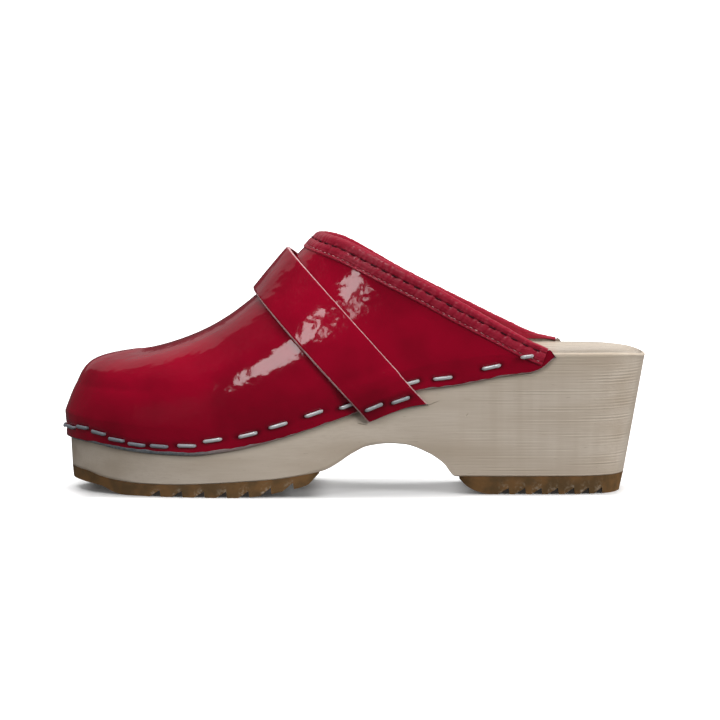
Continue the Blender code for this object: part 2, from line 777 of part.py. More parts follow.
def strap_section(side, share, columns):
    """A row across the strap: the strap's underside and its face over each point of the vamp."""
    under, face = [], []
    for across in columns:
        v = share
        if share <= 0:
            turn = strap_turn(side, 0.0, across)
            v = share * LAP * STRAP_BELOW_HEM / hem_to_rim(side, turn)
        turn = strap_turn(side, v, across)
        point, normal, _ = vamp_frame(side, turn, v)
        over_hem = point[2] - rib_value("hem_z", turn)
        room = cubic(column(STRAP_ROOM, "over_hem"), column(STRAP_ROOM, "room"), over_hem)
        back = 0.5 + across / STRAP_WIDTH
        lift = STRAP_LIFT["front"] * (1 - back) + STRAP_LIFT["back"] * back
        room += lift * np.clip((v - 0.45) / 0.55, 0, 1) ** 2
        under.append(point + normal * room)
        face.append(point + normal * (room + STRAP_THICKNESS))
    return under + face[::-1]


def hem_to_rim(side, turn):
    return height(WOOD_RIM, station_of(turn)) + GAP - rib_value("hem_z", turn)


def instep_strap(material, collection):
    """A flat band over the instep, worked out from the vamp's outer face, both ends on the wood."""
    columns = np.linspace(-STRAP_WIDTH / 2, STRAP_WIDTH / 2, 4)
    climb = np.concatenate([[-1.0, -0.5, 0.0, 0.06, 0.14], np.linspace(0.22, 0.94, 11)])
    path = [(OUTER, share) for share in climb] + [(OUTER, 1.0)]
    path += [(INNER, share) for share in climb[::-1]]
    sections = [strap_section(side, share, columns) for side, share in path]
    return loft("instep_strap", np.array(sections), material, collection)


# ---------------------------------------------------------------- staples


def staple_frame(side, place, cover):
    """Middle of a staple's crown, the direction along the hem, and the direction into the wood.

    cover is the thickness of leather under the crown, measured from the wood.
    """
    turn = turn_of(place.station)
    outward = cover + STAPLE_LIFT + WIRE / 2

    def seat(at, out):
        z = rib_value("hem_z", at) + place.over_hem
        return wall_point(side, turn_of(station_of(at) * side_reach(side)), z, out)

    along = seat(turn + 1.0, 0.0) - seat(max(turn - 1.0, 0.0), 0.0)
    if place.station == 0:
        along = np.array([0.0, 1.0, 0.0])
    along /= np.linalg.norm(along)
    middle = seat(turn, outward)
    inward = seat(turn, 0.0) - middle
    inward -= along * (inward @ along)
    return middle, along, inward / np.linalg.norm(inward)


def strap_cover(over_hem):
    """Thickness of leather over the wood at the strap's end."""
    room = cubic(column(STRAP_ROOM, "over_hem"), column(STRAP_ROOM, "room"), over_hem)
    return GAP + LEATHER + room + STRAP_THICKNESS


def staple_plan():
    """Every staple: its name, its crown's middle, and the directions of its crown and its legs."""
    hem_cover = GAP + LEATHER
    band_cover = hem_cover + BAND_GAP + BAND_THICKNESS
    plan = [("staple_toe", *staple_frame(OUTER, OUTER_STAPLES[0], hem_cover), hem_cover)]
    for side, word in ((OUTER, "outer"), (INNER, "inner")):
        for number, place in enumerate(OUTER_STAPLES[1:], start=1):
            frame = staple_frame(side, place, hem_cover)
            plan.append((f"staple_{word}_{number:02d}", *frame, hem_cover))
        for word_end, place in zip(("front", "back"), STRAP_STAPLES):
            cover = strap_cover(place.over_hem)
            frame = staple_frame(side, place, cover)
            plan.append((f"strap_staple_{word}_{word_end}", *frame, cover))
        middle, along, inward = staple_frame(side, BAND_STAPLE, band_cover)
        tilt = math.radians(BAND_STAPLE_TILT)
        inward = inward * math.cos(tilt) - np.array([0.0, 0.0, math.sin(tilt)])
        plan.append((f"band_staple_{word}", middle, along, inward, band_cover))
    return plan


def leg_length(cover):
    return WIRE / 2 + STAPLE_LIFT + cover + STAPLE_IN_WOOD


def staple(name, middle, along, inward, cover, material, collection):
    """A bent wire: two legs and a crown between them."""
    half = STAPLE_CROWN / 2
    curve = bpy.data.curves.new(name, "CURVE")
    curve.dimensions = "3D"
    curve.bevel_depth = WIRE / 2 * MM
    curve.bevel_resolution = WIRE_SIDES
    curve.use_fill_caps = True
    path = [
        middle - along * half + inward * leg_length(cover),
        middle - along * half + inward * STAPLE_BEND,
        middle - along * (half - STAPLE_BEND),
        middle + along * (half - STAPLE_BEND),
        middle + along * half + inward * STAPLE_BEND,
        middle + along * half + inward * leg_length(cover),
    ]
    spline = curve.splines.new("POLY")
    spline.points.add(len(path) - 1)
    for knot, place in zip(spline.points, path):
        knot.co = (*(place * MM), 1.0)
    return new_object(name, curve, material, collection)


def leg_holes(plan, collection):
    """One cutter with a square bar along every staple leg, from above the crown to past its tip."""
    mesh = bmesh.new()
    reach = WIRE / 2 + STAPLE_ROOM
    for _, middle, along, inward, cover in plan:
        across = np.cross(along, inward)
        across /= np.linalg.norm(across)
        for end in (-1, 1):
            leg = middle + along * (end * STAPLE_CROWN / 2)
            corners = [along * a + across * b for a, b in ((-1, -1), (1, -1), (1, 1), (-1, 1))]
            near = [mesh.verts.new(tuple((leg - inward + c * reach) * MM)) for c in corners]
            tip = leg + inward * (leg_length(cover) + 2 * STAPLE_ROOM)
            far = [mesh.verts.new(tuple((tip + c * reach) * MM)) for c in corners]
            grid_faces(mesh, [near, far], closed=True)
            mesh.faces.new(near)
            mesh.faces.new(far)
    bmesh.ops.recalc_face_normals(mesh, faces=mesh.faces)
    made = bpy.data.meshes.new("staple_leg_holes")
    mesh.to_mesh(made)
    mesh.free()
    cutter = new_object("staple_leg_holes", made, None, collection)
    cutter.hide_render = True
    cutter.display_type = "WIRE"
    return cutter


def cut(target, cutter):
    """Take the cutter away, then share out the faces it leaves in the best shaped triangles."""
    difference = target.modifiers.new(cutter.name, "BOOLEAN")
    difference.operation = "DIFFERENCE"
    difference.solver = "EXACT"
    difference.object = cutter
    triangles = target.modifiers.new("triangles", "TRIANGULATE")
    triangles.quad_method = "BEAUTY"
    triangles.ngon_method = "BEAUTY"


# ---------------------------------------------------------------- materials and assembly


def material(name, colour, roughness, metallic=0.0, coat=0.0):
    made = bpy.data.materials.new(name)
    made.use_nodes = True
    shader = made.node_tree.nodes["Principled BSDF"]
    shader.inputs["Base Color"].default_value = (*colour, 1.0)
    shader.inputs["Roughness"].default_value = roughness
    shader.inputs["Metallic"].default_value = metallic
    shader.inputs["Coat Weight"].default_value = coat
    made.diffuse_color = (*colour, 1.0)
    return made


def new_collection(name):
    made = bpy.data.collections.new(name)
    bpy.context.scene.collection.children.link(made)
    return made


def main():
    for old in list(bpy.data.objects):
        bpy.data.objects.remove(old)
    clog = new_collection("clog")
    cutters = new_collection("cutters")
    alder = material("lacquered_alder", (0.55, 0.42, 0.29), 0.45)
    crepe = material("honey_rubber", (0.16, 0.09, 0.035), 0.7)
    patent = material("red_patent_leather", (0.30, 0.001, 0.012), 0.12, coat=1.0)
    soft = material("soft_red_leather", (0.24, 0.008, 0.02), 0.4)
    steel = material("staple_steel", (0.55, 0.56, 0.58), 0.3, metallic=1.0)
    front_turns = spread((0, 76), (12,))
    back_turns = spread((206, SOLE_LENGTH), (9,))
    rubber("forefoot", FOREFOOT_TREAD, 0.0, 108.4, front_turns, crepe, clog)
    rubber("heel", HEEL_TREAD, 167.6, SOLE_LENGTH, back_turns, crepe, clog)
    plan = staple_plan()
    holes = leg_holes(plan, cutters)
    for pierced in (
        wood_sole(alder, clog),
        upper(patent, clog),
        collar_binding(VampNet(), soft, clog),
        instep_strap(patent, clog),
    ):
        cut(pierced, holes)
    for name, middle, along, inward, cover in plan:
        staple(name, middle, along, inward, cover, steel, clog)


main()
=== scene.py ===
"""The looks of a clog for the left foot: red patent leather stapled over the side of an alder sole.

+Z is up, the toe points along -X, and the outer side of the foot faces -Y. Sizes and tables are in
millimetres and MM turns them into metres. A station is a distance back from the tip of the wooden
toe, and a turn is the same thing as an angle: 0 at the toe's tip, 90 at mid length, 180 at the heel.
"""

import logging
import math
from dataclasses import dataclass, field
from enum import Enum
from typing import NamedTuple

import bmesh
import bpy
import numpy as np
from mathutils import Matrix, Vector
from numpy.typing import NDArray


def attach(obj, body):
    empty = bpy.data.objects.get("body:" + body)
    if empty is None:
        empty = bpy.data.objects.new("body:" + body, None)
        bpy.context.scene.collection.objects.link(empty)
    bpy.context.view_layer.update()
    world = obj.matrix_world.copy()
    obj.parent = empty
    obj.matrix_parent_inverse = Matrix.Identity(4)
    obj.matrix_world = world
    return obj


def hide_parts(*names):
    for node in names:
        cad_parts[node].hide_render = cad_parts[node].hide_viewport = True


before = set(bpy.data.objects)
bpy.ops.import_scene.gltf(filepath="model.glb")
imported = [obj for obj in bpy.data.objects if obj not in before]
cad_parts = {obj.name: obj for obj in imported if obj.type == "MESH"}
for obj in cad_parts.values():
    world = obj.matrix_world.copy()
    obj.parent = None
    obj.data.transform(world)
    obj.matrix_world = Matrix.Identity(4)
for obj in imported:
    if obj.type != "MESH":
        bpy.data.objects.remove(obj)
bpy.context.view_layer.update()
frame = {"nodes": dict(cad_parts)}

Array = NDArray[np.float64]
MM = 0.001
BODY = "root"
log = logging.getLogger("clog")


class Side(Enum):
    """A side of the foot, by the sign of its y."""

    OUTER = -1
    INNER = 1


SIDES = (Side.OUTER, Side.INNER)


class Slot(Enum):
    """The record's material slots."""

    ALDER = "alder"
    RUBBER = "honey_rubber"
    PATENT = "patent_leather"
    SOFT = "soft_leather"
    STEEL = "staple_steel"


# ---------------------------------------------------------------- the shape of the last


class Plan(NamedTuple):
    """The sole seen from above: half widths at the rim, and how far the wall draws in below it."""

    station: float
    outer: float
    inner: float
    undercut: float


class Height(NamedTuple):
    """A height above the floor at one station."""

    station: float
    z: float


class Rib(NamedTuple):
    """A line up the vamp, from the hem past the wood's rim to the top line.

    lean is in degrees, outward where it is positive. A pull is how far that end's direction is
    kept, as a share of the straight line from the rim to the top.
    """

    hem_station: float
    hem_z: float
    rim_shift: float
    lean: float
    low_pull: float
    top_pull: float


class CollarEdge(NamedTuple):
    """The height of the collar's edge at one station, on each side of the foot."""

    station: float
    outer_z: float
    inner_z: float


class StandOff(NamedTuple):
    """Room between the strap and the vamp's outer face, by height over the vamp's hem."""

    over_hem: float
    room: float


class StaplePlace(NamedTuple):
    """A staple of the hem row: its station on the outer side and its height over the hem."""

    station: float
    over_hem: float


def heights(*rows: tuple[float, float]) -> tuple[Height, ...]:
    """A table of heights from pairs of a station and a height."""
    return tuple(Height(*row) for row in rows)


PLAN = (
    Plan(0.0, 46.0, 46.0, 1.2),
    Plan(60.0, 46.0, 46.0, 1.5),
    Plan(79.0, 46.0, 44.8, 1.6),
    Plan(101.0, 43.6, 40.6, 2.0),
    Plan(123.0, 38.6, 35.0, 2.6),
    Plan(147.0, 33.8, 31.2, 3.0),
    Plan(176.0, 31.6, 30.9, 2.0),
    Plan(206.0, 31.6, 31.6, 1.8),
    Plan(229.0, 31.6, 31.6, 3.6),
    Plan(247.6, 31.6, 31.6, 9.2),
)
WOOD_BOTTOM = heights(
    (0.0, 9.9), (8.0, 9.1), (15.0, 7.2), (23.0, 6.0), (32.0, 5.3), (44.0, 5.2), (56.0, 5.7),
    (71.0, 6.6), (90.0, 8.0), (103.5, 10.0), (110.0, 11.4), (114.5, 13.6), (122.0, 18.4),
    (128.5, 21.3), (137.0, 22.2), (144.0, 21.7), (154.0, 18.0), (160.5, 13.6), (165.8, 7.8),
    (247.6, 7.8),
)
WOOD_RIM = heights(
    (0.0, 33.0), (21.0, 30.8), (51.0, 29.2), (68.0, 30.6), (85.0, 34.2), (101.0, 39.0),
    (121.0, 46.0), (141.0, 52.2), (159.0, 56.4), (181.0, 59.6), (201.0, 60.7), (229.0, 60.6),
    (241.0, 60.0), (247.6, 58.8),
)
FOOTBED_DISH = heights(
    (0.0, 1.5), (50.0, 3.0), (110.0, 3.0), (150.0, 2.0), (205.0, 3.4), (247.6, 2.5),
)
FOREFOOT_TREAD = heights(
    (0.0, 4.9), (4.5, 4.4), (13.5, 3.2), (20.0, 0.7), (25.0, 0.0), (73.0, 0.0), (85.0, 1.2),
    (93.0, 2.8), (102.6, 5.0), (108.4, 10.2),
)
HEEL_TREAD = heights(
    (167.6, 6.8), (170.6, 3.6), (174.4, 1.5), (180.5, 0.0), (247.6, 0.0),
)
RIBS = (
    Rib(0.0, 22.1, 0.0, -20.5, 0.52, 0.76),
    Rib(9.6, 21.5, 0.0, -12.0, 0.49, 0.68),
    Rib(22.9, 19.5, 0.0, -4.5, 0.45, 0.57),
    Rib(35.8, 18.4, 0.0, -1.0, 0.42, 0.52),
    Rib(52.6, 17.9, 0.0, 1.0, 0.38, 0.46),
    Rib(69.4, 19.9, 0.0, 2.0, 0.37, 0.43),
    Rib(86.1, 23.7, 0.0, 1.0, 0.36, 0.40),
    Rib(102.7, 28.6, 0.0, 0.0, 0.36, 0.38),
    Rib(122.0, 35.0, 0.0, -3.0, 0.36, 0.36),
    Rib(149.3, 44.5, 0.0, -7.0, 0.35, 0.35),
    Rib(166.5, 46.8, 0.5, -9.0, 0.35, 0.35),
    Rib(188.4, 51.0, 2.5, -5.0, 0.34, 0.34),
    Rib(198.4, 52.3, 5.0, 0.0, 0.33, 0.33),
    Rib(208.4, 58.8, -1.6, 0.0, 0.33, 0.33),
)
RIDGE = heights(
    (37.0, 60.8), (39.5, 61.1), (46.3, 63.0), (56.3, 66.9), (67.3, 73.1), (77.3, 80.5),
    (89.3, 91.3), (97.3, 99.6), (105.8, 108.3),
)
COLLAR_EDGE = (
    CollarEdge(105.8, 108.3, 108.3),
    CollarEdge(115.5, 106.1, 104.7),
    CollarEdge(127.5, 100.8, 97.9),
    CollarEdge(139.0, 95.1, 91.1),
    CollarEdge(154.0, 87.6, 83.3),
    CollarEdge(169.0, 79.4, 75.9),
    CollarEdge(183.0, 72.1, 69.0),
    CollarEdge(197.6, 64.6, 62.7),
    CollarEdge(204.7, 61.8, 61.4),
)
STRAP_ROOM = (
    StandOff(-6.5, -1.3),
    StandOff(-3.5, -0.6),
    StandOff(0.0, 0.9),
    StandOff(3.5, 2.0),
    StandOff(7.5, 2.0),
    StandOff(16.0, 0.6),
    StandOff(30.0, 0.6),
)
HEM_STAPLES = (
    StaplePlace(0.0, 4.6),
    StaplePlace(2.7, 5.2),
    StaplePlace(7.8, 6.2),
    StaplePlace(14.7, 5.4),
    StaplePlace(22.3, 4.2),
    StaplePlace(30.8, 3.5),
    StaplePlace(40.4, 3.7),
    StaplePlace(52.0, 4.5),
    StaplePlace(62.9, 6.0),
    StaplePlace(77.7, 5.7),
    StaplePlace(90.3, 6.4),
    StaplePlace(105.3, 6.6),
    StaplePlace(119.9, 4.9),
    StaplePlace(133.2, 4.9),
    StaplePlace(146.2, 4.4),
    StaplePlace(160.1, 4.2),
    StaplePlace(180.9, 5.2),
)
BAND_STAPLE = StaplePlace(196.0, 7.6)
STRAP_STAPLES = (StaplePlace(130.2, 0.3), StaplePlace(141.8, -1.4))
GAP = 0.3
LEATHER = 1.6
CROWN = 7.2


def column(rows: tuple, name: str) -> Array:
    """One named column of a table."""
    return np.array([getattr(row, name) for row in rows], float)


def cubic(knots: Array, values: Array, at: Array, level_start: bool = False) -> Array:
    """A cubic through the knots whose slopes are held so that it never overshoots a row.

    Args:
        knots: rising positions.
        values: the value at each knot.
        at: where to read it.
        level_start: whether it starts level.

    Returns:
        The values there.
    """
    step = np.diff(knots)
    secant = np.diff(values) / step
    slope = np.empty(len(knots))
    slope[0], slope[-1] = 0.0 if level_start else secant[0], secant[-1]
    product = secant[1:] * secant[:-1]
    total = secant[1:] + secant[:-1]
    rising = product > 0
    slope[1:-1] = np.where(rising, 2 * product / np.where(rising, total, 1.0), 0.0)
    at = np.clip(at, knots[0], knots[-1])
    i = np.clip(np.searchsorted(knots, at) - 1, 0, len(knots) - 2)
    u = (at - knots[i]) / step[i]
    return (
        values[i] * (1 + 2 * u) * (1 - u) ** 2
        + values[i + 1] * u * u * (3 - 2 * u)
        + step[i] * (slope[i] * u * (1 - u) ** 2 - slope[i + 1] * u * u * (1 - u))
    )


def height(rows: tuple, station: Array) -> Array:
    """A height table read at any station."""
    return cubic(column(rows, "station"), column(rows, "z"), station)


def unit(vectors: Array) -> Array:
    """Vectors at length one."""
    return vectors / np.maximum(np.linalg.norm(vectors, axis=-1, keepdims=True), 1e-12)


def smooth_step(low: float, high: float, at: Array) -> Array:
    """0 below low, 1 above high, and a smooth rise between."""
    u = np.clip((at - low) / (high - low), 0, 1)
    return u * u * (3 - 2 * u)


@dataclass(frozen=True)
class Last:
    """The form that wood and leather share, in millimetres.

    Its outline is a pair of tabled half widths drawn in by an ellipse at each end, its wall leans
    in towards the floor, and its vamp is a fan of ribs, each a cubic Bezier curve over the rim.
    """

    length: float = 247.6
    toe_x: float = -122.1
    toe_y: float = 5.0
    toe_round: tuple[float, float] = (76.0, 59.0)
    heel_round: float = 34.0
    heel_squareness: float = 2.3
    inner_reach: float = 1.026
    lap: float = 0.22
    apex: float = 119.0
    throat: float = 139.0
    band_end: float = 198.4
    collar_half_width: float = 33.4
    corner: tuple[float, float] = (205.9, 62.1)
    soft_turn: float = 14.0
    soft_rise: float = 0.18
    soft_span: tuple[float, float] = (35.0, 68.0)
    soft_steps: tuple[float, ...] = (-1.0, -0.5, 0.0, 0.5, 1.0)
    soft_weights: tuple[float, ...] = (0.0625, 0.25, 0.375, 0.25, 0.0625)

    def station_of(self, turn: Array) -> Array:
        """The station of a turn."""
        return self.length * (1 - np.cos(np.radians(turn))) / 2

    def turn_of(self, station: Array) -> Array:
        """The turn of a station."""
        share = np.clip(1 - 2 * np.asarray(station, float) / self.length, -1, 1)
        return np.degrees(np.arccos(share))

    def rib_value(self, name: str, turn: Array) -> Array:
        """A column of RIBS read at any turn."""
        knots = self.turn_of(column(RIBS, "hem_station"))
        return cubic(knots, column(RIBS, name), turn, level_start=True)

    def reach(self, side: Side) -> float:
        """How much further back the vamp runs on this side."""
        return self.inner_reach if side is Side.INNER else 1.0

    def rim_outline(self, side: Side, turn: Array) -> tuple[Array, Array]:
        """Station and y of the wood's rim.

        A tabled half width times a fullness, which is an ellipse at the toe and a squarer curve at
        the heel.

        Args:
            side: the side of the foot.
            turn: where along the sole, in degrees.

        Returns:
            Station and y at each turn.
        """
        station = self.station_of(turn)
        name = "outer" if side is Side.OUTER else "inner"
        half = cubic(column(PLAN, "station"), column(PLAN, name), station)
        toe = np.clip(1 - station / self.toe_round[side is Side.INNER], 0, 1)
        heel = np.clip(1 - (self.length - station) / self.heel_round, 0, 1)
        power = self.heel_squareness
        fullness = np.sqrt(1 - toe**2) * (1 - heel**power) ** (1 / power)
        pole = np.where(station < self.length / 2, self.toe_y, 0.0)
        return station, pole + (side.value * half - pole) * fullness

    def outline(self, side: Side, turn: Array, inset: Array) -> tuple[Array, Array]:
        """The rim's outline moved inward by inset, square to itself.

        Args:
            side: the side of the foot.
            turn: where along the sole, in degrees.
            inset: how far inward.

        Returns:
            Station and y at each turn.
        """
        turn = np.asarray(turn, float)
        before = self.rim_outline(side, np.maximum(turn - 0.2, 0))
        after = self.rim_outline(side, np.minimum(turn + 0.2, 180))
        along, across = after[0] - before[0], after[1] - before[1]
        length = np.hypot(along, across)
        tip = (turn < 1e-6).astype(float) - (turn > 180 - 1e-6)
        in_s = np.where(tip != 0, tip, side.value * across / length)
        in_y = np.where(tip != 0, 0.0, -side.value * along / length)
        station, y = self.rim_outline(side, turn)
        return station + in_s * inset, y + in_y * inset

    def undercut(self, turn: Array) -> Array:
        """How far the wall's foot lies inside the rim."""
        return cubic(column(PLAN, "station"), column(PLAN, "undercut"), self.station_of(turn))

    def wall_point(self, side: Side, turn: Array, z: Array, outward: Array = 0.0) -> Array:
        """Points on the wood's side wall at height z, moved outward from it.

        Args:
            side: the side of the foot.
            turn: where along the sole, in degrees.
            z: the height above the floor.
            outward: how far out from the wall, level and square to it.

        Returns:
            The points, with x, y and z last.
        """
        station = self.station_of(turn)
        top, bottom = height(WOOD_RIM, station), height(WOOD_BOTTOM, station)
        inset = self.undercut(turn) * (top - z) / (top - bottom)
        plan = self.outline(side, turn, inset - outward)
        return np.stack([self.toe_x + plan[0], plan[1], z + np.zeros_like(plan[0])], axis=-1)

    def top_line(self, side: Side, turn: Array) -> tuple[Array, Array]:
        """The end of each rib, and how far along the collar it lies: 0 at its front, 1 at its end.

        Args:
            side: the side of the foot.
            turn: the rib's turn.

        Returns:
            The points of the top line, and the share of the collar passed.
        """
        apex, end = self.turn_of(self.apex), self.turn_of(self.band_end)
        last = self.turn_of(RIBS[-1].hem_station)
        front, back = RIDGE[0].station, RIDGE[-1].station
        ridge_station = front + (back - front) * np.clip(turn / apex, 0, 1) ** 1.8
        along = np.clip((turn - apex) / (end - apex), 0, 1)
        collar_end = COLLAR_EDGE[-1].station
        collar_station = back + (collar_end - back) * along**1.6
        half = self.collar_half_width * (1 - (1 - along) ** 4.2)
        corner = np.clip((turn - end) / (last - end), 0, 1)
        on_ridge = turn <= apex
        reach = 1 + (self.reach(side) - 1) * along**2
        station = np.where(on_ridge, ridge_station, collar_station * reach)
        station = station + (self.corner[0] - collar_end) * corner
        name = "outer_z" if side is Side.OUTER else "inner_z"
        edge = cubic(column(COLLAR_EDGE, "station"), column(COLLAR_EDGE, name), collar_station)
        z = np.where(on_ridge, height(RIDGE, ridge_station), edge)
        z = z + (self.corner[1] - edge) * corner
        y = self.toe_y * (1 - along) + side.value * half
        return np.stack([self.toe_x + station, y, z], axis=-1), along

    def ridge_slope(self, x: Array) -> Array:
        """Rise of the ridge for each millimetre back."""
        low = np.clip(x - self.toe_x - 1, RIDGE[0].station, RIDGE[-1].station - 1)
        return height(RIDGE, low + 1) - height(RIDGE, low)

    def vamp_rib(self, side: Side, turn: Array, v: Array) -> Array:
        """Points of ribs: v is 0 at the hem, lap at the wood's rim and 1 at the top line.

        Below the rim a rib follows the wood. Above it, it is a cubic Bezier curve that leaves the
        rim at the rib's lean and reaches the top line level across the ridge, or rising at the
        collar.

        Args:
            side: the side of the foot.
            turn: the rib's turn.
            v: how far up the rib.

        Returns:
            The points.
        """
        turn, v = np.broadcast_arrays(np.asarray(turn, float), np.asarray(v, float))
        hem_turn = self.turn_of(self.station_of(turn) * self.reach(side))
        rim_turn = self.turn_of(self.station_of(hem_turn) + self.rib_value("rim_shift", turn))
        rim_z = height(WOOD_RIM, self.station_of(rim_turn)) + 0.3
        hem_z = self.rib_value("hem_z", turn)
        share = np.minimum(v / self.lap, 1)
        lap_turn = hem_turn + (rim_turn - hem_turn) * share
        lap_z = hem_z + (rim_z - hem_z) * share
        lap = self.wall_point(side, lap_turn, lap_z, GAP + LEATHER)

        start = self.wall_point(side, rim_turn, rim_z, GAP + LEATHER)
        outward = unit(start - self.wall_point(side, rim_turn, rim_z))
        lean = np.radians(self.rib_value("lean", turn))[..., None]
        up = np.array([0.0, 0.0, 1.0])
        leave = outward * np.sin(lean) + up * np.cos(lean)

        end, along = self.top_line(side, turn)
        chord = np.linalg.norm(end - start, axis=-1)
        level = unit((end - start) * np.array([1.0, 1.0, 0.0]))
        square = np.clip(turn / self.turn_of(self.apex), 0, 1) ** 3 * np.clip(1 - 2 * along, 0, 1)
        across = np.array([0.0, -float(side.value), 0.0])
        level = unit(level + (across - level) * square[..., None])
        slope = self.ridge_slope(end[..., 0]) * np.clip(1 - 3 * along, 0, 1)
        rise = np.radians(84.0) * (1 - (1 - along) ** 3.6)
        arrive = level * np.cos(rise)[..., None]
        arrive = arrive + up * (level[..., 0] * slope + np.sin(rise))[..., None]

        first = start + leave * (chord * self.rib_value("low_pull", turn))[..., None]
        cut = 1 - 0.19 * (1 - (1 - along) ** 4.2)
        second = end - arrive * (chord * cut * self.rib_value("top_pull", turn))[..., None]
        u = np.clip((v - self.lap) / (1 - self.lap), 0, 1)[..., None]
        curve = (
            start * (1 - u) ** 3
            + first * 3 * u * (1 - u) ** 2
            + second * 3 * u * u * (1 - u)
            + end * u**3
        )
        return np.where((v <= self.lap)[..., None], lap, curve)

    def vamp_point(self, side: Side, turn: Array, v: Array) -> Array:
        """The vamp's outer face: its ribs, each point of the toe averaged with the ribs around.

        Args:
            side: the side of the foot.
            turn: the rib's turn.
            v: how far up the rib.

        Returns:
            The points.
        """
        turn, v = np.broadcast_arrays(np.asarray(turn, float), np.asarray(v, float))
        fade = 1 - smooth_step(*self.soft_span, turn)
        soft = fade * np.clip((v - self.lap) / self.soft_rise, 0, 1)
        points = self.vamp_rib(side, turn, v)
        near = soft > 0
        if not near.any():
            return points
        other = Side(-side.value)
        total = np.zeros((int(near.sum()), 3))
        for turn_shift, turn_weight in zip(self.soft_steps, self.soft_weights):
            for rise_shift, rise_weight in zip(self.soft_steps, self.soft_weights):
                at = turn[near] + turn_shift * self.soft_turn * soft[near]
                rise = v[near] + rise_shift * self.soft_rise * soft[near]
                beyond = (at < 0) != (rise > 1 + 1e-9)
                at, rise = np.abs(at), np.where(rise > 1, 2 - rise, rise)
                point = self.vamp_rib(side, at, rise)
                if beyond.any():
                    point[beyond] = self.vamp_rib(other, at[beyond], rise[beyond])
                total += point * turn_weight * rise_weight
        points[near] = total
        return points

    def vamp_frame(self, side: Side, turn: Array, v: Array) -> tuple[Array, Array, Array]:
        """Points, unit normals pointing out, and unit directions up the ribs.

        Args:
            side: the side of the foot.
            turn: the rib's turn.
            v: how far up the rib.

        Returns:
            The three arrays, each with x, y and z last.
        """
        turn, v = np.broadcast_arrays(np.asarray(turn, float), np.asarray(v, float))
        point = self.vamp_point(side, turn, v)
        behind = self.vamp_point(side, np.maximum(turn - 0.5, 0), v)
        last = self.turn_of(RIBS[-1].hem_station)
        ahead = self.vamp_point(side, np.minimum(turn + 0.5, last), v)
        higher = np.where(turn < 1e-6, np.minimum(v + 0.01, 1), v + 0.01)
        up = unit(self.vamp_point(side, turn, higher) - self.vamp_point(side, turn, v - 0.01))
        toe = (turn < 1e-6)[..., None]
        along = np.where(toe, np.array([0.0, float(side.value), 0.0]), ahead - behind)
        normal = unit(np.cross(along, up) * -side.value)
        rim_z = height(WOOD_RIM, self.station_of(turn))
        wall = self.wall_point(side, turn, rim_z, 1.0) - self.wall_point(side, turn, rim_z)
        rib_height = self.vamp_point(side, turn, np.ones_like(v))[..., 2] - rim_z
        share = np.clip((rib_height - 1.0) / 7.0, 0, 1)[..., None]
        normal = wall * (1 - share) + normal * share
        on_ridge = (v > 1 - 1e-6) & (turn < self.turn_of(self.apex) + 1e-6)
        normal[..., 1] = np.where((turn < 1e-6) | on_ridge, 0.0, normal[..., 1])
        return point, unit(normal), up

    def spread(self, stations: tuple[float, ...], counts: tuple[int, ...]) -> Array:
        """Turns between the stations, evenly spaced in turn within each span.

        Args:
            stations: where the spans meet.
            counts: how many turns each span gets.

        Returns:
            The turns, the last station's included.
        """
        turns = self.turn_of(np.array(stations, float))
        spans = [
            np.linspace(a, b, n, endpoint=False) for a, b, n in zip(turns, turns[1:], counts)
        ]
        return np.concatenate([*spans, turns[-1:]])


LAST = Last()


# ---------------------------------------------------------------- meshes


@dataclass
class Patch:
    """A grid of points in millimetres, the finish it takes, and whether its faces are turned over."""

    points: Array
    slot: int = 0
    closed: bool = False
    flip: bool = False
    marks: dict[str, Array] = field(default_factory=dict)

    def quads(self) -> NDArray[np.int64]:
        """Quads between neighbouring rows; closed joins each row's last point to its first.

        Returns:
            Four point numbers for each quad.
        """
        rows, count = self.points.shape[:2]
        index = np.arange(rows * count).reshape(rows, count)
        right = np.roll(index, -1, axis=1) if self.closed else index[:, 1:]
        left = index if self.closed else index[:, :-1]
        quads = np.stack([left[:-1], right[:-1], right[1:], left[1:]], axis=-1).reshape(-1, 4)
        return quads[:, ::-1] if self.flip else quads


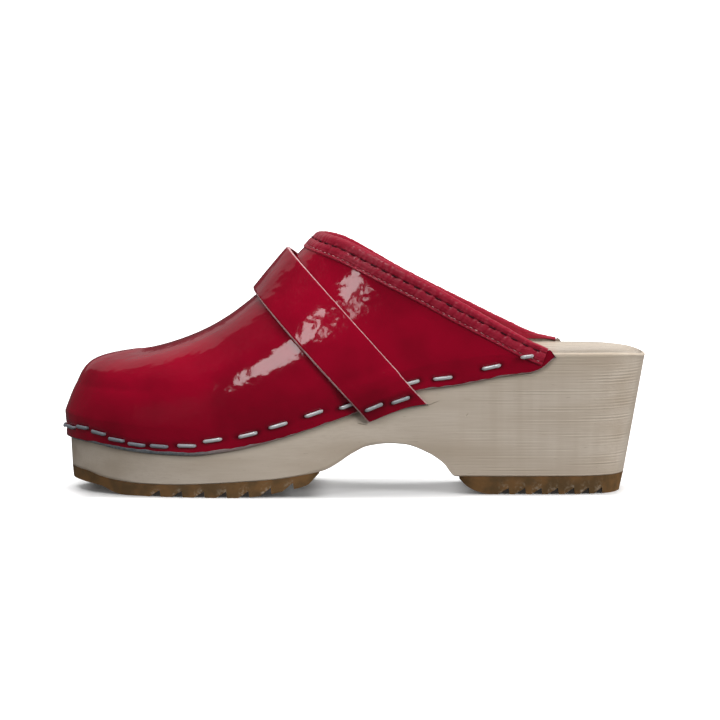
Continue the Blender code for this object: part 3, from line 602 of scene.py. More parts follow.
def build_piece(
    name: str,
    patches: list[Patch],
    materials: list[bpy.types.Material],
    weld: float = 0.0,
    outward: bool = False,
) -> bpy.types.Object:
    """Join patches in one smooth-shaded mesh object at the origin.

    Args:
        name: the piece's name.
        patches: its surfaces.
        materials: what the patches' slots count in.
        weld: how close two points are, in millimetres, to become one.
        outward: whether the faces of a closed piece are turned to point out.

    Returns:
        The object.
    """
    start = 0
    faces, slots = [], []
    for patch in patches:
        quads = patch.quads() + start
        faces.append(quads)
        slots.append(np.full(len(quads), patch.slot))
        start += patch.points[..., 0].size
    points = np.concatenate([patch.points.reshape(-1, 3) for patch in patches]) * MM
    mesh = bpy.data.meshes.new(name)
    mesh.from_pydata(points.tolist(), [], np.concatenate(faces).tolist())
    mesh.polygons.foreach_set("material_index", np.concatenate(slots).astype(np.int32))
    for key in sorted({key for patch in patches for key in patch.marks}):
        values = [
            patch.marks.get(key, np.zeros(patch.points.shape[:2])).reshape(-1)
            for patch in patches
        ]
        mark = mesh.attributes.new(key, "FLOAT", "POINT")
        mark.data.foreach_set("value", np.concatenate(values).astype(np.float32))
    for material in materials:
        mesh.materials.append(material)
    body = bmesh.new()
    body.from_mesh(mesh)
    bmesh.ops.remove_doubles(body, verts=body.verts, dist=max(weld, 0.001) * MM)
    bmesh.ops.dissolve_degenerate(body, dist=1e-6, edges=body.edges)
    if outward:
        bmesh.ops.recalc_face_normals(body, faces=body.faces)
    body.to_mesh(mesh)
    body.free()
    mesh.polygons.foreach_set("use_smooth", np.ones(len(mesh.polygons), bool))
    piece = bpy.data.objects.new(name, mesh)
    bpy.context.scene.collection.objects.link(piece)
    return piece


def sharpen(piece: bpy.types.Object, angle: float) -> None:
    """Mark every edge that turns by more than angle degrees as sharp.

    Args:
        piece: a finished mesh object.
        angle: the least turn of a sharp edge, in degrees.
    """
    body = bmesh.new()
    body.from_mesh(piece.data)
    limit = math.radians(angle)
    for edge in body.edges:
        edge.smooth = len(edge.link_faces) == 2 and edge.calc_face_angle(0.0) < limit
    body.to_mesh(piece.data)
    body.free()


def place(piece: bpy.types.Object, slot: Slot, *nodes: str) -> None:
    """Let a finished piece stand for its CAD nodes and ride on the one body.

    Args:
        piece: a finished mesh object.
        slot: the record's material slot; not used.
        nodes: the CAD nodes that it stands for.
    """
    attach(piece, BODY)
    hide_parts(*nodes)
    log.info("%s: %d faces for %s", piece.name, len(piece.data.polygons), ", ".join(nodes))


def resample(rows: Array, knots: Array, at: Array) -> Array:
    """A smooth curve through rows (Catmull-Rom slopes), read at new positions along axis 0.

    Args:
        rows: values along axis 0.
        knots: the position of each row.
        at: the new positions.

    Returns:
        The rows at the new positions.
    """
    slope = np.gradient(rows, knots, axis=0)
    i = np.clip(np.searchsorted(knots, at) - 1, 0, len(knots) - 2)
    step = knots[i + 1] - knots[i]
    shape = (-1,) + (1,) * (rows.ndim - 1)
    u = ((at - knots[i]) / step).reshape(shape)
    step = step.reshape(shape)
    return (
        rows[i] * (1 + 2 * u) * (1 - u) ** 2
        + rows[i + 1] * u * u * (3 - 2 * u)
        + step * (slope[i] * u * (1 - u) ** 2 - slope[i + 1] * u * u * (1 - u))
    )


def ripple(at: Array, wave: float, seed: int) -> Array:
    """Uneven waves between about -1 and 1: sines of four unlike lengths around wave.

    Args:
        at: positions in millimetres.
        wave: the middle wave length.
        seed: what the waves' phases are drawn from.

    Returns:
        The waves' height at each position.
    """
    draw = np.random.default_rng(seed)
    total = np.zeros_like(np.asarray(at, float))
    for scale in (0.61, 0.83, 1.19, 1.7):
        phase = draw.uniform(0, 2 * math.pi)
        total = total + np.sin(2 * math.pi * at / (wave * scale) + phase)
    return total / 3


# ---------------------------------------------------------------- shader maths


class Value:
    """A socket that carries a number; the operators add Math nodes."""

    def __init__(self, graph: "Graph", socket: bpy.types.NodeSocket) -> None:
        """Keep the socket and the graph that it belongs to."""
        self.graph = graph
        self.socket = socket

    def _math(self, operation: str, *inputs: object) -> "Value":
        """One Math node."""
        values = dict(enumerate(inputs))
        return self.graph.node("ShaderNodeMath", {"operation": operation}, values)

    def __add__(self, other: object) -> "Value":
        """self + other."""
        return self._math("ADD", self, other)

    def __radd__(self, other: object) -> "Value":
        """other + self."""
        return self._math("ADD", other, self)

    def __sub__(self, other: object) -> "Value":
        """self - other."""
        return self._math("SUBTRACT", self, other)

    def __rsub__(self, other: object) -> "Value":
        """other - self."""
        return self._math("SUBTRACT", other, self)

    def __mul__(self, other: object) -> "Value":
        """self * other."""
        return self._math("MULTIPLY", self, other)

    def __rmul__(self, other: object) -> "Value":
        """other * self."""
        return self._math("MULTIPLY", other, self)

    def __truediv__(self, other: object) -> "Value":
        """self / other."""
        return self._math("DIVIDE", self, other)

    def sine(self) -> "Value":
        """sin(self)."""
        return self._math("SINE", self)

    def least(self, other: object) -> "Value":
        """The smaller of the two."""
        return self._math("MINIMUM", self, other)

    def most(self, other: object) -> "Value":
        """The larger of the two."""
        return self._math("MAXIMUM", self, other)

    def rise(self, low: float, high: float) -> "Value":
        """0 at low, 1 at high, smooth between; low may be the larger."""
        settings = {"interpolation_type": "SMOOTHSTEP"}
        inputs = {"Value": self, "From Min": low, "From Max": high}
        return self.graph.node("ShaderNodeMapRange", settings, inputs)


Colour = tuple[float, float, float]


class Graph:
    """A material's nodes, ending in one Principled shader."""

    def __init__(self, name: str) -> None:
        """Start an empty material."""
        self.material = bpy.data.materials.new(name)
        self.material.use_nodes = True
        self.tree = self.material.node_tree
        self.tree.nodes.clear()
        self.place_of_point = self.node("ShaderNodeTexCoord", {}, {}, "Object")

    def node(
        self, kind: str, settings: dict, inputs: dict, output: int | str = 0
    ) -> Value:
        """Add a node.

        Args:
            kind: the node's type.
            settings: attributes, which are set first; "stops" fills a colour ramp.
            inputs: values or links by socket name or number.
            output: which output to hand back.

        Returns:
            The output as a Value.
        """
        made = self.tree.nodes.new(kind)
        for key, value in settings.items():
            if key == "stops":
                self._fill_ramp(made.color_ramp, value)
            else:
                setattr(made, key, value)
        for key, value in inputs.items():
            if isinstance(value, Value):
                self.tree.links.new(value.socket, made.inputs[key])
            elif isinstance(value, tuple) and len(made.inputs[key].default_value) == 4:
                made.inputs[key].default_value = (*value, 1.0)
            else:
                made.inputs[key].default_value = value
        return Value(self, made.outputs[output])

    @staticmethod
    def _fill_ramp(ramp: bpy.types.ColorRamp, stops: list[tuple[float, Colour]]) -> None:
        """Give a ramp its stops.

        Args:
            ramp: a colour ramp.
            stops: positions with colours.
        """
        while len(ramp.elements) < len(stops):
            ramp.elements.new(1.0)
        for element, (at, colour) in zip(ramp.elements, stops):
            element.position = at
            element.color = (*colour, 1.0)

    def scaled(self, x: float, y: float, z: float) -> Value:
        """The point in waves per metre, by axis."""
        return self.node(
            "ShaderNodeMapping", {}, {"Vector": self.place_of_point, "Scale": (x, y, z)}
        )

    def axis(self, name: str) -> Value:
        """One coordinate of the point, in metres."""
        return self.node("ShaderNodeSeparateXYZ", {}, {"Vector": self.place_of_point}, name)

    def noise(self, scale: float, detail: float = 2.0, at: Value | None = None) -> Value:
        """Soft noise from 0 to 1, with scale waves a metre unless at is given."""
        inputs = {"Vector": at or self.place_of_point, "Scale": scale, "Detail": detail}
        return self.node("ShaderNodeTexNoise", {}, inputs)

    def cells(self, scale: float, at: Value | None = None) -> Value:
        """Distance to the nearest of scattered points, as for grain."""
        inputs = {"Vector": at or self.place_of_point, "Scale": scale}
        return self.node("ShaderNodeTexVoronoi", {}, inputs, "Distance")

    def mark(self, name: str) -> Value:
        """A value that the mesh holds at its points."""
        return self.node("ShaderNodeAttribute", {"attribute_name": name}, {}, "Fac")

    def mix(self, share: object, low: object, high: object) -> Value:
        """A colour between low and high."""
        inputs = {0: share, 6: low, 7: high}
        return self.node("ShaderNodeMix", {"data_type": "RGBA"}, inputs, 2)

    def bump(self, rise: Value, distance: float, strength: float = 1.0) -> Value:
        """A normal from a height of distance metres a unit."""
        inputs = {"Height": rise, "Distance": distance, "Strength": strength}
        return self.node("ShaderNodeBump", {}, inputs)

    def finish(self, **sockets: object) -> bpy.types.Material:
        """Set the Principled shader's sockets, by their names with _ for a space.

        Args:
            sockets: values or links by socket name.

        Returns:
            The finished material.
        """
        inputs = {key.replace("_", " "): value for key, value in sockets.items()}
        shader = self.node("ShaderNodeBsdfPrincipled", {}, inputs)
        self.node_output(shader)
        return self.material

    def node_output(self, shader: Value) -> None:
        """Link the shader to the material's output."""
        output = self.tree.nodes.new("ShaderNodeOutputMaterial")
        self.tree.links.new(shader.socket, output.inputs["Surface"])


# ---------------------------------------------------------------- finishes


@dataclass(frozen=True)
class PatentLeather:
    """Red leather under a thick clear coat, slightly wavy, so that its highlights break up."""

    red: Colour = (0.335, 0.0002, 0.018)
    deep: Colour = (0.25, 0.0002, 0.0135)
    roughness: float = 0.09
    wave: float = 95.0
    wave_depth: float = 0.0006

    def material(self) -> bpy.types.Material:
        """Two tones in soft patches under a coat; broad waves and a fine orange-peel in the bump.

        Returns:
            The material.
        """
        graph = Graph("red_patent_leather")
        patch = graph.noise(38.0, 3.0).rise(0.35, 0.7)
        colour = graph.mix(patch, self.red, self.deep)
        # painted shade round the staples' crowns and holes, from the mesh's shade mark
        dark = graph.mark("shade")
        colour = graph.mix(dark, colour, (0.035, 0.0006, 0.004))
        waves = graph.noise(self.wave, 2.0)
        peel = graph.noise(520.0, 2.0) * 0.07
        speck = graph.cells(260.0).rise(0.06, 0.0) * 0.12
        normal = graph.bump(waves + peel + speck, self.wave_depth)
        return graph.finish(
            Base_Color=colour,
            Roughness=self.roughness,
            Specular_IOR_Level=0.6,
            Normal=normal,
        )


@dataclass(frozen=True)
class SoftLeather:
    """The collar band's softer, half-glossy red leather, with a close grain."""

    red: Colour = (0.33, 0.004, 0.024)
    # a lighter red for the painted highlight and for random mottle
    sheen_and_mottle: Colour = (0.42, 0.022, 0.050)

    def material(self) -> bpy.types.Material:
        """Red lightened by a painted highlight on the tops of the puckers and the roll and by random
        mottle, darkened by painted shade in the stitched grooves, with grain in the bump.

        Returns:
            The material.
        """
        graph = Graph("soft_red_leather")
        high = graph.mark("high")
        mottle = graph.noise(240.0, 3.0).rise(0.3, 0.7) * 0.5
        # lighter where the painted highlight and the mottle fall; darker where painted shade fills
        # the grooves
        colour = graph.mix((high * 0.7 + mottle * 0.4).least(1.0), self.red, self.sheen_and_mottle)
        colour = graph.mix(graph.mark("shade"), colour, (0.05, 0.002, 0.006))
        grain = graph.cells(1500.0) * 0.6 + graph.noise(800.0, 3.0)
        return graph.finish(
            Base_Color=colour,
            Roughness=0.34,
            Coat_Weight=0.35,
            Coat_Roughness=0.2,
            Normal=graph.bump(grain, 0.00012),
        )


@dataclass(frozen=True)
class PlainFinish:
    """A finish of one mottled colour: cut edges, the flesh side, threads."""

    name: str
    low: Colour
    high: Colour
    roughness: float
    scale: float = 900.0
    depth: float = 0.0001

    def material(self) -> bpy.types.Material:
        """Two tones in fine noise, with the same noise in the bump.

        Returns:
            The material.
        """
        graph = Graph(self.name)
        grain = graph.noise(self.scale, 4.0)
        colour = graph.mix(grain.rise(0.3, 0.7), self.low, self.high)
        normal = graph.bump(grain, self.depth)
        return graph.finish(Base_Color=colour, Roughness=self.roughness, Normal=normal)


@dataclass(frozen=True)
class LacqueredAlder:
    """Pale alder: long faint grain, milled lines on the heel's sides, and a lacquered footbed.

    Knife marks lie where the strap was trimmed; each is two pairs of a station and a height.
    """

    pale: Colour = (0.73, 0.635, 0.53)
    brown: Colour = (0.58, 0.48, 0.375)
    fleck: Colour = (0.38, 0.28, 0.19)
    line_pitch: float = 0.0013
    knife_width: float = 0.00016
    knife_marks: tuple[tuple[float, float, float, float], ...] = (
        (123.5, 31.4, 129.0, 30.0),
        (153.0, 37.9, 159.5, 40.6),
        (170.0, 33.6, 171.2, 34.9),
    )

    def knife_mark(self, graph: Graph, mark: tuple[float, float, float, float]) -> Value:
        """1 on a thin line on the outer side: near the line, between its ends, fading at both.

        Args:
            graph: the material's graph.
            mark: the line's ends, as station and height each.

        Returns:
            The line as a mask.
        """
        start_x, start_z = (LAST.toe_x + mark[0]) * MM, mark[1] * MM
        run, climb = (mark[2] - mark[0]) * MM, (mark[3] - mark[1]) * MM
        length = math.hypot(run, climb)
        east, north = graph.axis("X") - start_x, graph.axis("Z") - start_z
        along = (east * run + north * climb) / length**2
        off = (north * run - east * climb) / length
        line = off.most(off * -1.0).rise(self.knife_width, self.knife_width * 0.3)
        ends = along.rise(0.0, 0.15) * along.rise(1.0, 0.6)
        return line * ends * graph.axis("Y").rise(0.0, -0.01)

    def material(self) -> bpy.types.Material:
        """Grain is noise drawn out along X; milled lines are a sine of z on the heel's walls.

        Returns:
            The material.
        """
        graph = Graph("lacquered_alder")
        growth = graph.noise(1.0, 3.0, graph.scaled(9.0, 55.0, 85.0))
        fibre = graph.noise(1.0, 4.0, graph.scaled(60.0, 900.0, 1300.0))
        flecks = graph.noise(1.0, 2.0, graph.scaled(170.0, 1500.0, 2300.0)).rise(0.66, 0.78)
        colour = graph.mix(growth.rise(0.3, 0.75), self.pale, self.brown)
        colour = graph.mix(fibre.rise(0.35, 0.8) * 0.35, colour, self.brown)
        colour = graph.mix(flecks * 0.45, colour, self.fleck)
        # painted shadow on the wood under the leather's hem
        shade = graph.mark("shade")
        colour = graph.mix(shade, colour, (0.10, 0.07, 0.05))
        cuts = self.knife_mark(graph, self.knife_marks[0])
        for mark in self.knife_marks[1:]:
            cuts = cuts.most(self.knife_mark(graph, mark))
        colour = graph.mix(cuts * 0.7, colour, self.fleck)
        heel = graph.axis("X").rise(0.03, 0.07)
        band = graph.noise(1.0, 2.0, graph.scaled(160.0, 160.0, 6.0)).rise(0.35, 0.7)
        lines = (graph.axis("Z") * (2 * math.pi / self.line_pitch)).sine() * heel
        wall = 1 - graph.mark("bed")
        colour = graph.mix(band * wall * heel * 0.42, colour, self.brown)
        uneven = graph.noise(1.0, 2.0, graph.scaled(30.0, 30.0, 420.0)).rise(0.4, 0.7)
        rise = fibre * 0.6 + lines * wall * uneven * 0.45 + flecks * 0.3 - cuts * 2.0
        rough = 0.42 - graph.mark("bed") * 0.2 + fibre * 0.12
        return graph.finish(
            Base_Color=colour,
            Roughness=rough,
            Coat_Weight=graph.mark("bed") * 0.6 + 0.12,
            Coat_Roughness=0.12,
            Normal=graph.bump(rise, 0.00012),
        )


@dataclass(frozen=True)
class TreadRubber:
    """Honey-brown crepe rubber, mottled, with a paler bloom on its corners."""

    honey: Colour = (0.24, 0.125, 0.048)
    olive: Colour = (0.15, 0.088, 0.038)
    bloom: Colour = (0.62, 0.52, 0.40)

    def material(self) -> bpy.types.Material:
        """Soft patches of two browns; the mesh marks where the bloom lies.

        Returns:
            The material.
        """
        graph = Graph("honey_rubber")
        patch = graph.noise(140.0, 4.0)
        colour = graph.mix(patch.rise(0.35, 0.65), self.honey, self.olive)
        bloom = graph.mark("bloom") * graph.noise(900.0, 3.0).rise(0.45, 0.65) * 0.7
        colour = graph.mix(bloom, colour, self.bloom)
        rise = graph.noise(700.0, 4.0) + patch * 0.6
        return graph.finish(
            Base_Color=colour, Roughness=0.55, Normal=graph.bump(rise, 0.0002)
        )


@dataclass(frozen=True)
class StapleSteel:
    """Drawn steel wire, bright, greyer where a staple has dulled."""

    bright: Colour = (0.97, 0.98, 1.0)
    dull: Colour = (0.34, 0.37, 0.42)

    def material(self) -> bpy.types.Material:
        """The mesh marks the dull staples; fine noise breaks up the gloss.

        Returns:
            The material.
        """
        graph = Graph("staple_steel")
        dull = graph.mark("dull")
        scratch = graph.noise(1600.0, 3.0)
        colour = graph.mix((dull * 0.8 + scratch * 0.3).least(1.0), self.bright, self.dull)
        return graph.finish(
            Base_Color=colour,
            Metallic=0.45,
            Roughness=0.2 + dull * 0.25 + scratch * 0.1,
            Normal=graph.bump(scratch, 0.00003),
        )


@dataclass(frozen=True)
class CutEdge:
    """The leather's cut edge: blue-grey fibre, or a pale pink where the mesh says so."""

    low: Colour = (0.20, 0.235, 0.27)
    high: Colour = (0.38, 0.40, 0.43)
    pink: Colour = (0.70, 0.50, 0.48)

    def material(self) -> bpy.types.Material:
        """Fine noise between two greys, mixed towards pink by the mesh's mark.

        Returns:
            The material.
        """
        graph = Graph("cut_edge")
        grain = graph.noise(900.0, 4.0)
        grey = graph.mix(grain.rise(0.3, 0.7), self.low, self.high)
        colour = graph.mix(graph.mark("pale") * 0.85, grey, self.pink)
        return graph.finish(
            Base_Color=colour, Roughness=0.75, Normal=graph.bump(grain, 0.0001)
        )


CUT_EDGE = CutEdge()
PINK_EDGE = PlainFinish("pale_pink_edge", (0.55, 0.25, 0.27), (0.75, 0.52, 0.52), 0.6)
FLESH = PlainFinish("flesh_side", (0.26, 0.21, 0.17), (0.42, 0.35, 0.29), 0.9, 700.0, 0.0003)
DARK_THREAD = PlainFinish("dark_thread", (0.03, 0.003, 0.006), (0.09, 0.008, 0.016), 0.6)
# the second stitch row's pale pink is a painted highlight standing in for the thread's glints
THREAD_PAINTED_GLINTS = PlainFinish("pale_thread", (0.30, 0.05, 0.07), (0.80, 0.42, 0.42), 0.4, 260.0)


# ---------------------------------------------------------------- the pieces


@dataclass
class WoodSole:
    """The alder block: underside, broken arris, leaning wall, rounded rim and dished footbed."""

    arris: float = 0.4
    rim_round: float = 1.5
    turns: int = 320
    wall_rows: int = 26
    bed_rows: int = 16

    def rings(self) -> tuple[Array, Array]:
        """Rings round the block, one for each turn, and which of their points are footbed.

        A ring runs from the underside's middle out to the outer foot, up the wall, round the rim
        by a quarter circle, over the bed (a cubic dish) and down the inner side.

        Returns:
            Points by turn and place round the ring, and 1 where a point is footbed.
        """
        turns = np.linspace(0.0, 180.0, self.turns)
        stations = LAST.station_of(turns)
        rim_z = height(WOOD_RIM, stations)
        low_z = height(WOOD_BOTTOM, stations) + self.arris
        foot, wall, rim, lip = {}, {}, {}, {}
        for side in SIDES:
            edge = LAST.outline(side, turns, LAST.undercut(turns) + self.arris)
            foot[side] = np.stack(
                [LAST.toe_x + edge[0], edge[1], height(WOOD_BOTTOM, edge[0])], axis=-1
            )
            shares = np.linspace(0, 1, self.wall_rows)
            wall[side] = [
                LAST.wall_point(side, turns, low_z + (rim_z - self.rim_round - low_z) * share)
                for share in shares
            ]
            angles = np.radians(np.linspace(15, 75, 5))
            rim[side] = []
            for angle in angles:
                inset = self.rim_round * (1 - math.cos(angle))
                plan = LAST.outline(side, turns, inset)
                z = rim_z - self.rim_round * (1 - math.sin(angle))
                rim[side].append(np.stack([LAST.toe_x + plan[0], plan[1], z], axis=-1))
            plan = LAST.outline(side, turns, self.rim_round)
            lip[side] = np.stack([LAST.toe_x + plan[0], plan[1], rim_z], axis=-1)
        bed_spine = (lip[Side.OUTER] + lip[Side.INNER]) / 2
        foot_spine = (foot[Side.OUTER] + foot[Side.INNER]) / 2
        half = (lip[Side.INNER] - lip[Side.OUTER])[:, 1] / 2
        dish = height(FOOTBED_DISH, stations) * np.clip(half / 18, 0, 1)

        def bed(side: Side, share: float) -> Array:
            """A line of the footbed, share of the way from its middle to the lip.

            Args:
                side: the side of the foot.
                share: 0 at the middle, 1 at the lip.

            Returns:
                The line's points.
            """
            point = bed_spine + (lip[side] - bed_spine) * share
            point[:, 2] = rim_z - dish * (1 - share**3)
            return point

        def under(side: Side, share: float) -> Array:
            """A line of the underside, share of the way from its middle to the foot.

            Args:
                side: the side of the foot.
                share: 0 at the middle, 1 at the foot.

            Returns:
                The line's points.
            """
            point = foot_spine + (foot[side] - foot_spine) * share
            point[:, 2] = height(WOOD_BOTTOM, point[:, 0] - LAST.toe_x)
            return point

        shares = np.linspace(0, 1, self.bed_rows)[1:-1]
        outer_up = [under(Side.OUTER, share) for share in (0.0, 0.5)] + [foot[Side.OUTER]]
        outer_up += wall[Side.OUTER] + rim[Side.OUTER] + [lip[Side.OUTER]]
        bed_lines = [bed(Side.OUTER, share) for share in shares[::-1]] + [bed(Side.OUTER, 0.0)]
        bed_lines += [bed(Side.INNER, share) for share in shares]
        inner_down = [lip[Side.INNER], *rim[Side.INNER][::-1], *wall[Side.INNER][::-1]]
        inner_down += [foot[Side.INNER], under(Side.INNER, 0.5)]
        ring = outer_up + bed_lines + inner_down
        on_bed = np.zeros(len(ring))
        on_bed[len(outer_up) - 1 : len(outer_up) + len(bed_lines) + 1] = 1.0
        return np.stack(ring, axis=1), np.broadcast_to(on_bed, (len(turns), len(ring)))

    def build(self) -> bpy.types.Object:
        """The wood as one closed mesh.

        Returns:
            The piece.
        """
        rings, on_bed = self.rings()
        shade = self.shade(rings) * (1 - on_bed)
        patch = Patch(rings, closed=True, marks={"bed": on_bed.copy(), "shade": shade})
        piece = build_piece("wood_sole", [patch], [LacqueredAlder().material()], outward=True)
        sharpen(piece, 38.0)
        place(piece, Slot.ALDER, "wood_sole")
        return piece

    def shade(self, rings: Array) -> Array:
        """Painted shadow on the wood just under the leather's hem, which stands proud of it: strong
        at the hem, gone three millimetres below.

        Args:
            rings: the wood's points.

        Returns:
            How dark each point is.
        """
        station = rings[..., 0] - LAST.toe_x
        turn = LAST.turn_of(station)
        below = LAST.rib_value("hem_z", turn) - rings[..., 2]
        covered = smooth_step(-1.0, 0.0, below) * (1 - smooth_step(0.0, 2.6, below))
        return covered * 0.35 * (station < 206)


@dataclass
class Tread:
    """A rubber plate on the wood's bottom edge, its lower face cut by slanted grooves."""

    name: str
    table: tuple[Height, ...]
    span: tuple[float, float]
    pitch: float
    grooves: tuple[float, float]
    taper: float
    groove_depth: float = 2.8
    groove_length: float = 4.4
    fine: int = 150

    def lower_z(self, station: Array) -> tuple[Array, Array]:
        """The lower face's height, and 1 on each groove's front corner.

        The height is the table's, raised within each groove by a saw tooth: it climbs evenly from
        nothing at its front to full depth, then drops over a tenth of its length.

        Args:
            station: where along the sole.

        Returns:
            The heights, and how far each is in a groove's corner.
        """
        first, last = self.grooves
        into = np.mod(station - first, self.pitch)
        inside = (station >= first) & (station <= last + self.groove_length)
        climb = np.clip(into / self.groove_length, 0, 1)
        drop = np.clip((self.groove_length * 1.1 - into) / (self.groove_length * 0.1), 0, 1)
        slope = np.clip(climb * 6, 0, 1) * drop
        uneven = 0.7 + 0.3 * ripple(station, 11.0, 31)
        cut = self.groove_depth * climb * drop
        return height(self.table, station) + cut * inside, slope * inside * uneven

    def build(self) -> bpy.types.Object:
        """The plate as one closed mesh of rings across the sole.

        Returns:
            The piece.
        """
        start, end = self.span
        first, last = self.grooves
        edges = np.arange(first, last, self.pitch)
        shares = np.array([0.0, 0.15, 0.5, 1.0, 1.1])
        corners = (edges[:, None] + self.groove_length * shares).reshape(-1)
        even = LAST.station_of(np.linspace(*LAST.turn_of(np.array([start, end])), self.fine))
        stations = np.unique(np.round(np.concatenate([corners, even]), 3))
        stations = stations[(stations >= start) & (stations <= end)]
        near = np.abs(stations[:, None] - corners[None, :]).min(axis=1)
        stations = stations[(near < 1e-2) | (near > 0.12)]
        turns = LAST.turn_of(stations)
        low_z, corner = self.lower_z(stations)
        flat_z = height(self.table, stations)
        wood_z = height(WOOD_BOTTOM, stations)
        lines, marks = [], []
        for side in SIDES:
            rows = []
            for share in (0.0, 0.12, 0.5, 0.9, 1.0):
                down = share * (wood_z - low_z) / (wood_z - flat_z)
                plan = LAST.outline(side, turns, LAST.undercut(turns) + self.taper * down)
                top_z = height(WOOD_BOTTOM, plan[0]) - 0.05
                z = top_z + (low_z - top_z) * share
                rows.append(np.stack([LAST.toe_x + plan[0], plan[1], z], axis=-1))
            marks_here = [corner * share for share in (0.0, 0.0, 0.25, 1.0, 0.5)]
            lines += rows if side is Side.OUTER else rows[::-1]
            marks += marks_here if side is Side.OUTER else marks_here[::-1]
        rings = np.stack(lines, axis=1)
        bloom = np.stack(marks, axis=1)
        patch = Patch(rings, closed=True, marks={"bloom": bloom})
        patches = [patch] + [self.cap(rings[i], turned) for i, turned in ((0, True), (-1, False))]
        piece = build_piece(self.name, patches, [TreadRubber().material()], outward=True)
        sharpen(piece, 30.0)
        place(piece, Slot.RUBBER, self.name)
        return piece

    @staticmethod
    def cap(ring: Array, turned: bool) -> Patch:
        """A flat end: the outer half of the ring joined to its inner half, line by line.

        Args:
            ring: the plate's first or last ring.
            turned: whether its faces are turned over.

        Returns:
            The end.
        """
        half = len(ring) // 2
        grid = np.stack([ring[:half], ring[half:][::-1]], axis=0)
        return Patch(grid, flip=turned)


@dataclass
class Vamp:
    """The leather upper: outer face, a cut edge round the hem, and the flesh side within."""

    counts: tuple[int, ...] = (64, 44, 52, 6)
    lap_rows: int = 20
    rows: int = 64
    skive: float = 1.6
    least_skive: float = 0.7
    bevel: float = 0.75
    pale_from: tuple[float, float] = (45.0, 75.0)
    dent_depth: float = 0.45

    def turns(self) -> Array:
        """The ribs' turns, closer together round the front of the collar."""
        last = RIBS[-1].hem_station
        return LAST.spread((0.0, LAST.apex, LAST.throat, LAST.band_end, last), self.counts)

    def edge_height(self, turns: Array) -> Array:
        """How far up the lap the bevelled cut edge reaches: most along the side of the forefoot.

        Args:
            turns: the ribs' turns.

        Returns:
            The edge's height in millimetres.
        """
        station = LAST.station_of(turns)
        uneven = 0.25 * ripple(station, 9.0, 4)
        side = smooth_step(2.0, 25.0, station) * (1 - smooth_step(62.0, 95.0, station))
        return np.clip(self.least_skive + (self.skive - self.least_skive) * side + uneven, 0.4, 2.0)

    def build(self, staples: "Staples") -> bpy.types.Object:
        """The whole vamp as one closed mesh; the dents follow the staples.

        Args:
            staples: the staples that press the leather in.

        Returns:
            The piece.
        """
        turns = self.turns()
        lap = LAST.lap
        patches = []
        for side in SIDES:
            wall = height(WOOD_RIM, LAST.station_of(turns)) + 0.3 - LAST.rib_value("hem_z", turns)
            skived = (self.edge_height(turns) / np.maximum(wall, 3.0) * lap)[:, None]
            share = np.linspace(0, 1, self.lap_rows)[None, :]
            low = skived + (lap - skived) * share
            high = np.broadcast_to(np.linspace(lap, 1, self.rows)[1:], (len(turns), self.rows - 1))
            v = np.concatenate([low, high], axis=1)
            face, normals, _ = LAST.vamp_frame(side, turns[:, None], v)
            dent, shade = staples.dents(face, "staple")
            face = face - normals * (dent * self.dent_depth)[..., None]
            edge_v = np.linspace(0, 1, 4)[None, :] * skived
            edge, edge_normals, _ = LAST.vamp_frame(side, turns[:, None], edge_v)
            bevel = LEATHER * self.bevel * (1 - np.linspace(0, 1, 4)) ** 1.3
            pressed, _ = staples.dents(edge, "staple")
            bevel = bevel[None, :] + pressed * self.dent_depth
            edge = edge - edge_normals * bevel[..., None]
            inner_v = np.concatenate([edge_v[:, :-1], v], axis=1)
            lining, lining_normals, _ = LAST.vamp_frame(side, turns[:, None], inner_v)
            lining = lining - lining_normals * LEATHER
            pale = smooth_step(*self.pale_from, LAST.station_of(turns))[:, None]
            foot = np.stack([lining[:, 0], edge[:, 0]], axis=1)
            rim = np.stack([face[:, -1], lining[:, -1]], axis=1)
            rim = rim[turns > LAST.turn_of(LAST.apex) - 1e-6]
            flip = side is Side.INNER
            marks = {"shade": shade}
            patches += [
                Patch(face, 0, flip=not flip, marks=marks),
                *(
                    Patch(cut, 1, flip=not flip, marks={"pale": pale + np.zeros(cut.shape[:2])})
                    for cut in (edge, foot)
                ),
                Patch(lining, 2, flip=flip),
                Patch(rim, 1, flip=not flip),
            ]
            patches.append(self.heel_end(edge, face, lining, flip))
        materials = [PatentLeather().material(), CUT_EDGE.material(), FLESH.material()]
        piece = build_piece("upper", patches, materials, weld=0.02)
        place(piece, Slot.PATENT, "upper")
        return piece

    @staticmethod
    def heel_end(edge: Array, face: Array, lining: Array, flip: bool) -> Patch:
        """The narrow end of the leather at the back: its outer line joined to its inner line.

        Args:
            edge: the cut edge's grid.
            face: the face's grid.
            lining: the flesh side's grid.
            flip: whether its faces are turned over.

        Returns:
            The end.
        """
        outer = np.concatenate([edge[-1][:-1], face[-1]])
        return Patch(np.stack([outer, lining[-1]]), 1, flip=flip)


